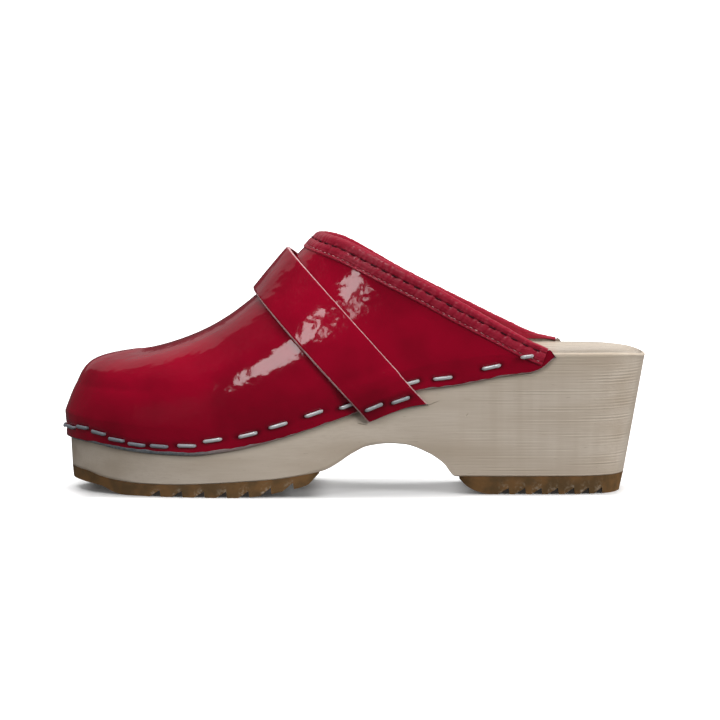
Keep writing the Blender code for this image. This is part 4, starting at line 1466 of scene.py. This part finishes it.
@dataclass
class CollarBand:
    """The folded band on the collar's edge: outer face, padded roll, and the turned-in side."""

    drop: float = 8.5
    thickness: float = 0.55
    roll: float = 3.4
    roll_end: float = 1.0
    inside: float = 9.0
    length_steps: int = 760
    stitch_rows: tuple[float, float] = (-1.3, -5.4)
    face_drop: float = 6.9
    groove_depths: tuple[float, float] = (0.32, 0.26)
    groove_width: float = 0.4
    ridge: float = 0.18
    pucker: float = 0.15

    def path(self) -> tuple[Array, Array, Array]:
        """Points, normals and up directions along the collar's edge, outer heel end to inner.

        Returns:
            The three arrays, each with x, y and z last.
        """
        turns = LAST.spread((LAST.apex, LAST.throat, LAST.band_end), (22, 26))
        outer = LAST.vamp_frame(Side.OUTER, turns[::-1], np.array(1.0))
        inner = LAST.vamp_frame(Side.INNER, turns[1:], np.array(1.0))
        points = np.concatenate([outer[0], inner[0]])
        normals = np.concatenate([outer[1], inner[1]])
        up = unit(np.cross(np.gradient(points, axis=0), normals))
        return points, normals, up

    @staticmethod
    def net() -> tuple[Array, Array]:
        """The vamp's outer face as a net of points with normals, to lay the band on.

        Returns:
            The points and the normals.
        """
        turns = np.linspace(LAST.turn_of(80.0), LAST.turn_of(RIBS[-1].hem_station), 300)[:, None]
        heights = np.linspace(0.3, 1.0, 180)[None, :]
        frames = [LAST.vamp_frame(side, turns, heights) for side in SIDES]
        points = np.concatenate([frame[0].reshape(-1, 3) for frame in frames])
        normals = np.concatenate([frame[1].reshape(-1, 3) for frame in frames])
        return points, normals

    def base(self) -> tuple[Array, Array, Array, Array]:
        """Smooth lines on the leather under the band, for four distances down from the edge.

        Returns:
            The distance along the edge, the distances down, and points and normals by both.
        """
        points, normals, ups = self.path()
        net, net_normals = self.net()
        downs = np.linspace(0.0, -self.drop, 5)
        seat = np.repeat(points[:, None], len(downs), axis=1)
        lean = np.repeat(normals[:, None], len(downs), axis=1)
        for j, down in enumerate(downs[1:], start=1):
            for i, target in enumerate(points + ups * down):
                nearest = np.argmin(((net - target) ** 2).sum(axis=1))
                normal = net_normals[nearest]
                seat[i, j] = target - normal * ((target - net[nearest]) @ normal)
                lean[i, j] = normal
        steps = np.linalg.norm(np.diff(points, axis=0), axis=1)
        knots = np.concatenate([[0.0], np.cumsum(steps)])
        along = np.linspace(0, knots[-1], self.length_steps)
        seat = resample(seat, knots, along)
        lean = unit(resample(lean, knots, along))
        up = unit(resample(ups, knots, along))
        return along, downs, np.concatenate([seat, up[:, None]], axis=1), lean

    def surface(self, out: Array, rise: Array) -> Array:
        """Points of the band, out from the leather and rise above (or below) its edge.

        Args:
            out: distance out from the leather's face, by length step and corner.
            rise: distance up past the edge, negative down the face.

        Returns:
            The points.
        """
        along, downs, seat, lean = self._base
        up = seat[:, -1]
        seat = seat[:, :-1]
        down = np.clip(-rise, 0, self.drop)
        position = down / self.drop * (len(downs) - 1)
        low = np.clip(position.astype(int), 0, len(downs) - 2)
        share = (position - low)[..., None]
        pick = np.arange(len(along))[:, None]
        ground = seat[pick, low] * (1 - share) + seat[pick, low + 1] * share
        square = unit(lean[pick, low] * (1 - share) + lean[pick, low + 1] * share)
        beyond = np.maximum(rise, 0)[..., None] * up[:, None]
        return ground + beyond + square * out[..., None]

    def profile(self) -> tuple[Array, Array, Array, Array]:
        """The band's ring at every step: out, rise, and where it takes a painted highlight or painted
        shade.

        From the turned lower edge it runs up the face, dips into two stitched grooves, swells over
        the roll by half an ellipse, and comes down the inside; uneven ripples along the edge
        pucker it, most beside the stitches.

        Returns:
            The four arrays, by step along the edge and place round the ring.
        """
        along = self._base[0]
        middle = along[-1] / 2
        share = np.abs(along - middle) / middle
        roll = (self.roll + (self.roll_end - self.roll) * share**2)[:, None]
        first, second = self.stitch_rows
        face_rise = np.linspace(-self.face_drop, 0.0, 36)[None, :]
        groove = np.zeros_like(face_rise)
        for row, deep in zip(self.stitch_rows, self.groove_depths):
            groove = groove + deep * np.exp(-(((face_rise - row) / self.groove_width) ** 2))
        ridge = self.ridge * np.exp(-((face_rise + 3.2) ** 2))
        edge = (-self.face_drop - 0.05, -self.face_drop + 0.4)
        lift = self.thickness * smooth_step(*edge, face_rise) + 0.12
        pull = np.exp(-(((face_rise - first) / 1.3) ** 2))
        pull = pull + 0.8 * np.exp(-(((face_rise - second) / 1.2) ** 2)) + 0.25
        skew = along[:, None] + 0.35 * face_rise
        wave = ripple(skew, 3.1, 11) * self.pucker + ripple(skew, 8.0, 12) * 0.12
        face_out = lift + ridge - groove + wave * pull
        angle = np.linspace(0, math.pi, 26)[None, 1:-1]
        inner_out = -LEATHER - 0.4 - self.thickness
        centre = (face_out[:, -1:] + inner_out) / 2
        half = (face_out[:, -1:] - inner_out) / 2
        fold = ripple(along[:, None] + 2.0 * angle, 4.2, 13) * 0.1 * np.sin(angle)
        roll_out = centre + (half * 1.06 + fold) * np.cos(angle)
        roll_rise = (roll + fold) * np.sin(angle) ** 0.85
        inner_rise = np.linspace(0.0, -1.0, 14)[None, :] * self.depth()[:, None]
        inner_face = inner_out + ripple(along[:, None] + inner_rise, 6.0, 14) * 0.15
        hidden_rise = np.array([[-1.0, -0.5]]) * self.depth()[:, None]
        hidden_out = np.full_like(hidden_rise, -LEATHER - 0.25)
        turned_out = np.full((len(along), 2), 0.06)
        turned_rise = np.broadcast_to(np.array([[-3.0, -self.face_drop]]), turned_out.shape)
        wide = np.ones((len(along), 1))
        out = np.concatenate(
            [face_out, roll_out, inner_face, hidden_out, turned_out], axis=1
        )
        rise = np.concatenate(
            [face_rise * wide, roll_rise, inner_rise, hidden_rise, turned_rise], axis=1
        )
        # painted highlight on the puckers' crests and along the roll; painted shade in the stitched
        # grooves
        high = np.zeros_like(out)
        high[:, : face_out.shape[1]] = np.clip(0.5 + wave / self.pucker * 0.5 - groove, 0, 1)
        high[:, face_out.shape[1] : face_out.shape[1] + angle.size] = 0.5
        shade = np.zeros_like(out)
        shade[:, : face_out.shape[1]] = np.clip(groove * 0.8, 0, 0.4)
        return out, rise, high, shade

    def depth(self) -> Array:
        """How far the band comes down inside: less where the collar nears the wood.

        Returns:
            The depth at every step along the edge.
        """
        along = self._base[0]
        edge = self._base[2][:, 0]
        up = self._base[2][:, -1]
        rim_z = height(WOOD_RIM, edge[:, 0] - LAST.toe_x)
        room = (edge[:, 2] - rim_z) / np.maximum(up[:, 2], 0.3) - 4 * GAP
        return np.clip(room, 0.1, self.inside) + np.zeros_like(along)

    def build(self) -> bpy.types.Object:
        """The band as one closed mesh.

        Returns:
            The piece.
        """
        self._base = self.base()
        out, rise, high, shade = self.profile()
        points = self.surface(out, rise)
        ring = Patch(points, closed=True, marks={"high": high, "shade": shade})
        ends = [self.end_cap(points[0]), self.end_cap(points[-1])]
        piece = build_piece(
            "collar_binding", [ring, *ends], [SoftLeather().material()], outward=True
        )
        place(piece, Slot.SOFT, "collar_binding")
        return piece

    @staticmethod
    def end_cap(ring: Array) -> Patch:
        """The band's cut end: the first half of the ring joined to the second."""
        half = len(ring) // 2
        return Patch(np.stack([ring[:half], ring[::-1][:half]]))

    def stitches(self) -> bpy.types.Object:
        """Both rows of stitches: short capsules that lie in the grooves and sink at their ends.

        Returns:
            The piece.
        """
        along, _, _, _ = self._base
        patches = []
        # the second row's thread carries painted glints
        for row, pitch, length, radius, slot in ((0, 5.2, 3.4, 0.3, 0), (1, 2.6, 1.2, 0.17, 1)):
            count = int(along[-1] / pitch) - 1
            centres = (np.arange(count) + 0.8) * pitch
            steps = np.linspace(-0.5, 0.5, 7)
            at = centres[:, None] + steps[None, :] * length
            index = np.clip(np.searchsorted(along, at), 0, len(along) - 1)
            rise = np.full(len(along), self.stitch_rows[row])[:, None]
            out = np.full((len(along), 1), 0.55 if row == 0 else 0.6)
            line = self.surface(out, rise)[:, 0]
            lean = self._base[3][:, 1]
            up = self._base[2][:, -1]
            bow = (1 - (2 * steps) ** 2)[None, :, None]
            middle = line[index] + lean[index] * (bow - 0.6) * radius * 1.6
            angle = np.linspace(0, 2 * math.pi, 7)[:-1]
            thin = np.sqrt(np.clip(1 - (2 * steps) ** 6, 0.02, 1))[None, :, None, None]
            round_ = (
                lean[index][:, :, None] * np.cos(angle)[None, None, :, None]
                + up[index][:, :, None] * np.sin(angle)[None, None, :, None]
            )
            tubes = middle[:, :, None] + round_ * radius * thin
            patches += [Patch(tube, slot, closed=True) for tube in tubes]
            patches += [
                Patch(np.stack([ring[:3], ring[3:][::-1]]), slot)
                for tube in tubes
                for ring in (tube[0], tube[-1])
            ]
        materials = [DARK_THREAD.material(), THREAD_PAINTED_GLINTS.material()]
        piece = build_piece("collar_stitches", patches, materials, outward=True)
        place(piece, Slot.SOFT)
        return piece


@dataclass
class Strap:
    """The plain band over the instep, worked out from the vamp's face, with pale cut edges."""

    width: float = 23.5
    thickness: float = 1.8
    tilt: float = 47.5
    place_along: float = 128.0
    below_hem: float = 6.5
    lift: tuple[float, float] = (0.8, 3.0)
    chamfer: float = 0.4
    camber: float = 0.5
    dent_depth: float = 0.4
    slants: tuple[float, float] = (0.7, 0.35)
    columns: int = 30
    rows: int = 90

    def turn_at(self, side: Side, v: Array, across: Array) -> Array:
        """The turn at which rib height v meets the strap's line, found by halving.

        Args:
            side: the side of the foot.
            v: how far up the rib.
            across: distance back from the strap's middle.

        Returns:
            The turns.
        """
        v, across = np.broadcast_arrays(v, across)
        low, high = np.full(v.shape, 68.0), np.full(v.shape, 120.0)
        tilt = math.radians(self.tilt)
        for _ in range(24):
            middle = (low + high) / 2
            point = LAST.vamp_point(side, middle, v)
            station = point[..., 0] - LAST.toe_x
            distance = station * math.sin(tilt) + point[..., 2] * math.cos(tilt)
            short = distance < self.place_along + across
            low = np.where(short, middle, low)
            high = np.where(short, high, middle)
        return (low + high) / 2

    def grid(self) -> tuple[Array, Array]:
        """Underside and face of the strap, from its outer end over the ridge to its inner end.

        Returns:
            The two grids.
        """
        half = self.width / 2
        inner = np.linspace(-half + self.chamfer, half - self.chamfer, self.columns)
        across = np.concatenate([[-half], inner, [half]])[None, :]
        under, face = [], []
        shares = np.concatenate([np.linspace(-1, 0, 14)[:-1], np.linspace(0, 1, self.rows)])
        for side in SIDES:
            share = shares if side is Side.OUTER else shares[-2::-1]
            hem_turn = self.turn_at(side, np.zeros((1, 1)), across)
            wall = height(WOOD_RIM, LAST.station_of(hem_turn)) + GAP
            wall = wall - LAST.rib_value("hem_z", hem_turn)
            share = share[:, None] + np.zeros_like(across)
            below = share * LAST.lap * self.below_hem / wall
            v = np.where(share < 0, below, share)
            turn = self.turn_at(side, v, across)
            point, normal, _ = LAST.vamp_frame(side, turn, v)
            over_hem = point[..., 2] - LAST.rib_value("hem_z", turn)
            room = cubic(column(STRAP_ROOM, "over_hem"), column(STRAP_ROOM, "room"), over_hem)
            back = 0.5 + across / self.width
            lift = self.lift[0] * (1 - back) + self.lift[1] * back
            room = room + lift * np.clip((v - 0.45) / 0.55, 0, 1) ** 2
            curl = self.chamfer * (np.abs(2 * back - 1) > 1 - 1e-6)
            under.append(point + normal * (room + 0.1)[..., None])
            arch = self.camber * (1 - (2 * back - 1) ** 2) * np.clip((share + 0.2) * 3, 0, 1)
            face.append(point + normal * (room + self.thickness + arch - curl)[..., None])
        return np.concatenate(under), np.concatenate(face)

    def build(self, staples: "Staples") -> bpy.types.Object:
        """The strap as one closed mesh: patent face, flesh underside, pale sides and slanted ends.

        Args:
            staples: the staples that press it in.

        Returns:
            The piece.
        """
        under, face = self.grid()
        normal = unit(face - under)
        dent, shade = staples.dents(face, "strap")
        face = face - normal * (dent * self.dent_depth)[..., None]
        for end, step in ((0, 1), (-1, -1)):
            slant = face[end + 2 * step] - face[end]
            for row, share in enumerate(self.slants):
                face[end + row * step] += slant * share
        front = np.stack([under[:, 0], face[:, 0]], axis=1)
        back = np.stack([face[:, -1], under[:, -1]], axis=1)
        start = np.stack([face[0], under[0]])
        end = np.stack([under[-1], face[-1]])
        patches = [
            Patch(face[:, 1:-1], 0, marks={"shade": shade[:, 1:-1]}),
            Patch(face[:, :2], 1),
            Patch(face[:, -2:], 1),
            Patch(under, 3, flip=True),
            Patch(front, 1),
            Patch(back, 1),
            Patch(start, 2),
            Patch(end, 2),
        ]
        materials = [
            PatentLeather().material(),
            PINK_EDGE.material(),
            CUT_EDGE.material(),
            FLESH.material(),
        ]
        piece = build_piece("instep_strap", patches, materials, outward=True)
        sharpen(piece, 50.0)
        place(piece, Slot.PATENT, "instep_strap")
        return piece


class StapleSeat(NamedTuple):
    """Where one staple sits: its crown's middle, along the crown, into the wood, and its dullness."""

    node: str
    middle: Array
    along: Array
    inward: Array
    dull: float
    crown: float = CROWN


@dataclass
class Staples:
    """Every staple: a bent wire with a slightly flattened crown."""

    wire: float = 1.2
    bend: float = 0.9
    lift: float = 0.3
    leg: float = 3.4
    sides: int = 12
    press_width: float = 1.7
    # painted shade in the dent round each crown and at the leg holes: width and darkness of each
    shadow: tuple[float, float] = (1.25, 0.7)
    hole: tuple[float, float] = (1.3, 0.95)
    press_reach: float = 14.0

    def seat(self, side: Side, spot: StaplePlace, cover: float) -> tuple[Array, Array, Array]:
        """The crown's middle, the way along the hem, and the way into the wood.

        Args:
            side: the side of the foot.
            spot: the staple's place on the hem.
            cover: how thick the leather is between the wood and the crown.

        Returns:
            A point and two unit directions.
        """
        turn = LAST.turn_of(spot.station)
        outward = cover + self.lift * 0.3 + self.wire / 2

        def point(at: Array, out: float) -> Array:
            """A point over the hem at a turn, out from the wood.

            Args:
                at: the turn.
                out: the distance out from the wood.

            Returns:
                The point.
            """
            z = LAST.rib_value("hem_z", at) + spot.over_hem
            reached = LAST.turn_of(LAST.station_of(at) * LAST.reach(side))
            return LAST.wall_point(side, reached, z, out)

        along = point(turn + 1.0, 0.0) - point(np.maximum(turn - 1.0, 0.0), 0.0)
        if spot.station == 0:
            along = np.array([0.0, 1.0, 0.0])
        along = unit(along)
        middle = point(turn, outward)
        inward = point(turn, 0.0) - middle
        return middle, along, unit(inward - along * (inward @ along))

    def seats(self) -> list[StapleSeat]:
        """All staples, named as their CAD nodes are.

        Returns:
            Their seats.
        """
        hem = GAP + LEATHER
        band = hem + 0.75 + 1.2
        made = [StapleSeat("staple_toe", *self.seat(Side.OUTER, HEM_STAPLES[0], hem), 1.0)]
        for side in SIDES:
            word = side.name.lower()
            for number, spot in enumerate(HEM_STAPLES[1:], start=1):
                dull = 1.0 - float(smooth_step(40.0, 62.0, np.array(spot.station)))
                made.append(
                    StapleSeat(f"staple_{word}_{number:02d}", *self.seat(side, spot, hem), dull)
                )
            for end, spot in zip(("front", "back"), STRAP_STAPLES):
                rows = column(STRAP_ROOM, "over_hem"), column(STRAP_ROOM, "room")
                cover = hem + float(cubic(*rows, spot.over_hem)) + 1.8
                name = f"strap_staple_{word}_{end}"
                made.append(StapleSeat(name, *self.seat(side, spot, cover), 0.45))
            middle, along, inward = self.seat(side, BAND_STAPLE, band)
            made.append(StapleSeat(f"band_staple_{word}", middle, along, inward, 0.0, 4.6))
        return made

    def dents(self, points: Array, prefix: str) -> tuple[Array, Array]:
        """How deep the leather is pressed round each staple, and how much painted shade darkens it
        there, 0 to 1.

        Each staple presses a long oval: a Gaussian of the distance to its crown, wider along it.

        Args:
            points: where the leather is.
            prefix: how the names of the staples that go through this leather start.

        Returns:
            Depth and painted shade at each point.
        """
        depth, dark = np.zeros(points.shape[:-1]), np.zeros(points.shape[:-1])
        for seat in self.seats():
            if not seat.node.startswith(prefix):
                continue
            away = points - seat.middle
            near = np.linalg.norm(away, axis=-1) < self.press_reach
            along = np.abs((away * seat.along).sum(axis=-1))
            across = np.cross(seat.along, seat.inward)
            over = np.abs((away * across).sum(axis=-1))
            past = np.maximum(along - seat.crown / 2, 0)
            distance = np.hypot(past, over)
            hole = np.hypot(np.abs(along - seat.crown / 2 - 0.2), over)
            depth = np.maximum(depth, np.exp(-((distance / self.press_width) ** 2)) * near)
            # painted shade: round the crown, and at each leg's hole
            for off, (width, most) in ((distance, self.shadow), (hole, self.hole)):
                dark = np.maximum(dark, np.exp(-((off / width) ** 2)) * near * most)
        return depth, dark

    def build(self) -> bpy.types.Object:
        """All staples as one joined mesh of tubes.

        Each tube's line runs up one leg, round a quarter circle, along the crown and down the
        other leg; its round section is flattened to three quarters on the crown.

        Returns:
            The piece.
        """
        quarter = np.radians(np.linspace(0, 90, 6))
        arc_a = self.bend * (np.cos(quarter) - 1)
        arc_i = self.bend - self.bend * np.sin(quarter)
        past = np.concatenate([[0.0], arc_a, -arc_a[::-1], [0.0]])
        end = np.repeat([0.5, -0.5], len(arc_a) + 1)
        i = np.concatenate([[self.leg], arc_i, arc_i[::-1], [self.leg]])
        tangent = unit(np.stack([np.gradient(past + end * CROWN), np.gradient(i)], axis=-1))
        angle = np.linspace(0, 2 * math.pi, self.sides + 1)[:-1]
        flat = 1 - 0.2 * np.abs(tangent[:, :1])
        wide = 1 + 0.3 * np.abs(tangent[:, :1])
        patches = []
        nodes = []
        for seat in self.seats():
            a = past + end * seat.crown
            line = seat.middle + a[:, None] * seat.along + i[:, None] * seat.inward
            out = tangent[:, 1:] * seat.along - tangent[:, :1] * seat.inward
            across = np.cross(seat.along, seat.inward)
            ring = out[:, None] * (np.cos(angle) * flat)[..., None]
            ring = ring + across * (np.sin(angle) * wide)[..., None]
            tube = line[:, None] + ring * self.wire / 2
            dull = np.full(tube.shape[:2], seat.dull)
            patches.append(Patch(tube, closed=True, marks={"dull": dull}))
            ends = (tube[0], tube[-1])
            patches += [Patch(np.stack([ring[:6], ring[6:][::-1]])) for ring in ends]
            nodes.append(seat.node)
        piece = build_piece("staples", patches, [StapleSteel().material()], outward=True)
        place(piece, Slot.STEEL, *nodes)
        return piece


# ---------------------------------------------------------------- the studio


class Lamp(NamedTuple):
    """A soft rectangular light that looks at a point, and whether gloss shows it.

    Its direction from that point is a bearing in degrees from the shoe's outer side, towards the
    heel where it is positive, and a height in degrees.
    """

    name: str
    bearing: float
    rise: float
    distance: float
    to: tuple[float, float, float]
    size: tuple[float, float]
    watts: float
    seen: bool


class FloorShade(NamedTuple):
    """A patch of painted shadow on the floor: start, full, still and end along X, its half width, and
    its depth.

    It is full between full and still and gone at start and end; across it, full within core and
    gone at edge. All but depth are in metres.
    """

    start: float
    full: float
    still: float
    end: float
    core: float
    edge: float
    depth: float


@dataclass
class Studio:
    """Plain pale floor, soft light and the camera."""

    target: tuple[float, float, float] = (0.003, 0.0, 0.05506)
    distance: float = 2.6
    elevation: float = 4.8
    field_width: float = 0.3096
    sensor: float = 36.0
    floor_size: float = 16.0
    wall_height: float = 3.0
    ambient: float = 0.06
    floor_glow: float = 0.5
    far_glow: float = 1.2
    floor_shades: tuple[FloorShade, ...] = (
        FloorShade(-0.128, -0.110, -0.022, -0.008, 0.036, 0.050, 1.0),
        FloorShade(-0.022, -0.008, 0.040, 0.056, 0.036, 0.050, 0.35),
        FloorShade(0.040, 0.056, 0.108, 0.122, 0.028, 0.038, 1.0),
    )
    lamps: tuple[Lamp, ...] = (
        Lamp("over", 180.0, 76.0, 1.6, (0.0, 0.0, 0.05), (2.2, 1.8), 36.0, False),
        Lamp("key", 50.0, 20.0, 1.9, (0.05, 0.0, 0.05), (0.9, 0.9), 19.0, False),
        Lamp("fill", -38.0, 16.0, 1.9, (-0.05, 0.0, 0.05), (1.2, 0.9), 8.4, False),
        Lamp("edge", 112.0, 14.0, 1.9, (0.1, 0.0, 0.04), (0.8, 0.8), 12.0, False),
        Lamp("window", -10.0, 44.0, 1.7, (-0.022, -0.038, 0.066), (0.46, 0.46), 3.9, True),
        Lamp("pane", 8.0, 40.0, 1.7, (0.004, -0.031, 0.085), (0.13, 0.22), 0.4, True),
        Lamp("behind", 178.0, 36.0, 2.2, (-0.07, -0.01, 0.06), (3.4, 1.7), 4.6, True),
    )

    def build(self) -> None:
        """Make floor, backdrop, world, lamps and camera."""
        self.floor()
        self.backdrop()
        self.world()
        for lamp in self.lamps:
            self.light(lamp)
        self.camera()

    def floor(self) -> None:
        """A wide pale floor at height zero, which glows everywhere but where painted shadow dims it
        under the shoe.
        """
        half = self.floor_size / 2
        mesh = bpy.data.meshes.new("floor")
        corners = [(-half, -half, 0.0), (half, -half, 0.0), (half, half, 0.0), (-half, half, 0.0)]
        mesh.from_pydata(corners, [], [(0, 1, 2, 3)])
        graph = Graph("pale_floor")
        reach = graph.node(
            "ShaderNodeVectorMath", {"operation": "LENGTH"}, {0: graph.place_of_point}, "Value"
        )
        along, across = graph.axis("X"), graph.axis("Y")
        across = across.most(across * -1.0)
        # painted shadow under the shoe: the glow is turned down towards near black
        under = 0.0
        for row in self.floor_shades:
            length = along.rise(row.start, row.full) * along.rise(row.end, row.still)
            under = length * across.rise(row.edge, row.core) * row.depth + under
        glow = graph.mix(reach.rise(0.3, 1.6), (self.floor_glow,) * 3, (self.far_glow,) * 3)
        mesh.materials.append(self.pale(graph, graph.mix(under.least(1.0), glow, (0.02,) * 3)))
        self.stage("floor", mesh)

    def backdrop(self) -> None:
        """A low pale wall round the floor's far edge, for views that look level."""
        half = self.floor_size / 2
        corners = [(-half, -half), (half, -half), (half, half), (-half, half)]
        low = [(x, y, 0.0) for x, y in corners]
        high = [(x, y, self.wall_height) for x, y in corners]
        mesh = bpy.data.meshes.new("backdrop")
        mesh.from_pydata(low + high, [], [(i, i + 4, (i + 1) % 4 + 4, (i + 1) % 4) for i in range(4)])
        mesh.materials.append(self.pale(Graph("pale_wall"), (self.far_glow,) * 3))
        self.stage("backdrop", mesh).visible_shadow = False

    @staticmethod
    def pale(graph: Graph, glow: Value | Colour) -> bpy.types.Material:
        """A matt near-white finish that glows."""
        return graph.finish(
            Base_Color=(0.9,) * 3, Roughness=0.95, Emission_Color=glow, Emission_Strength=1.0
        )

    @staticmethod
    def stage(name: str, mesh: bpy.types.Mesh) -> bpy.types.Object:
        """Stand a mesh behind or under the shoe, unseen by soft and glossy reflections.

        Args:
            name: the object's name.
            mesh: its mesh.

        Returns:
            The object.
        """
        made = bpy.data.objects.new(name, mesh)
        made.visible_diffuse = False
        made.visible_glossy = False
        bpy.context.scene.collection.objects.link(made)
        return made

    def world(self) -> None:
        """Even dim light from all round."""
        world = bpy.data.worlds.new("studio")
        world.use_nodes = True
        background = world.node_tree.nodes["Background"]
        background.inputs["Color"].default_value = (1.0, 1.0, 1.0, 1.0)
        background.inputs["Strength"].default_value = self.ambient
        bpy.context.scene.world = world

    def light(self, lamp: Lamp) -> None:
        """One area light turned to its target.

        Args:
            lamp: what it is.
        """
        data = bpy.data.lights.new(lamp.name, "AREA")
        data.shape = "RECTANGLE"
        data.size, data.size_y = lamp.size
        data.energy = lamp.watts
        made = bpy.data.objects.new(lamp.name, data)
        made.visible_glossy = lamp.seen
        bearing, rise = math.radians(lamp.bearing), math.radians(lamp.rise)
        way = (
            math.sin(bearing) * math.cos(rise),
            -math.cos(bearing) * math.cos(rise),
            math.sin(rise),
        )
        self.aim(made, tuple(to + lamp.distance * step for to, step in zip(lamp.to, way)), lamp.to)

    def camera(self) -> None:
        """A long lens level with the shoe, a little above it, seeing its outer side."""
        data = bpy.data.cameras.new("camera")
        data.sensor_width = self.sensor
        data.lens = self.sensor * self.distance / self.field_width
        data.clip_end = 200.0
        made = bpy.data.objects.new("camera", data)
        tilt = math.radians(self.elevation)
        x, y, z = self.target
        at = (x, y - self.distance * math.cos(tilt), z + self.distance * math.sin(tilt))
        self.aim(made, at, self.target)
        bpy.context.scene.camera = made

    @staticmethod
    def aim(
        made: bpy.types.Object, at: tuple[float, float, float], to: tuple[float, float, float]
    ) -> None:
        """Put an object somewhere, its -Z axis pointing at a target.

        Args:
            made: the object.
            at: its place.
            to: the target.
        """
        made.location = at
        made.rotation_euler = (Vector(to) - Vector(at)).to_track_quat("-Z", "Y").to_euler()
        bpy.context.scene.collection.objects.link(made)


def main() -> None:
    """Build every piece in order, then the studio round it."""
    logging.basicConfig(level=logging.INFO, format="%(name)s %(message)s")
    scene = bpy.context.scene
    scene.view_settings.view_transform = "Standard"
    staples = Staples()
    WoodSole().build()
    Tread("forefoot_rubber", FOREFOOT_TREAD, (0.0, 108.4), 9.6, (35.0, 93.0), 0.5).build()
    Tread("heel_rubber", HEEL_TREAD, (167.6, LAST.length), 7.0, (184.0, 228.0), 1.8).build()
    Vamp().build(staples)
    band = CollarBand()
    band.build()
    band.stitches()
    Strap().build(staples)
    staples.build()
    Studio().build()


if __name__ == "__main__":
    main()
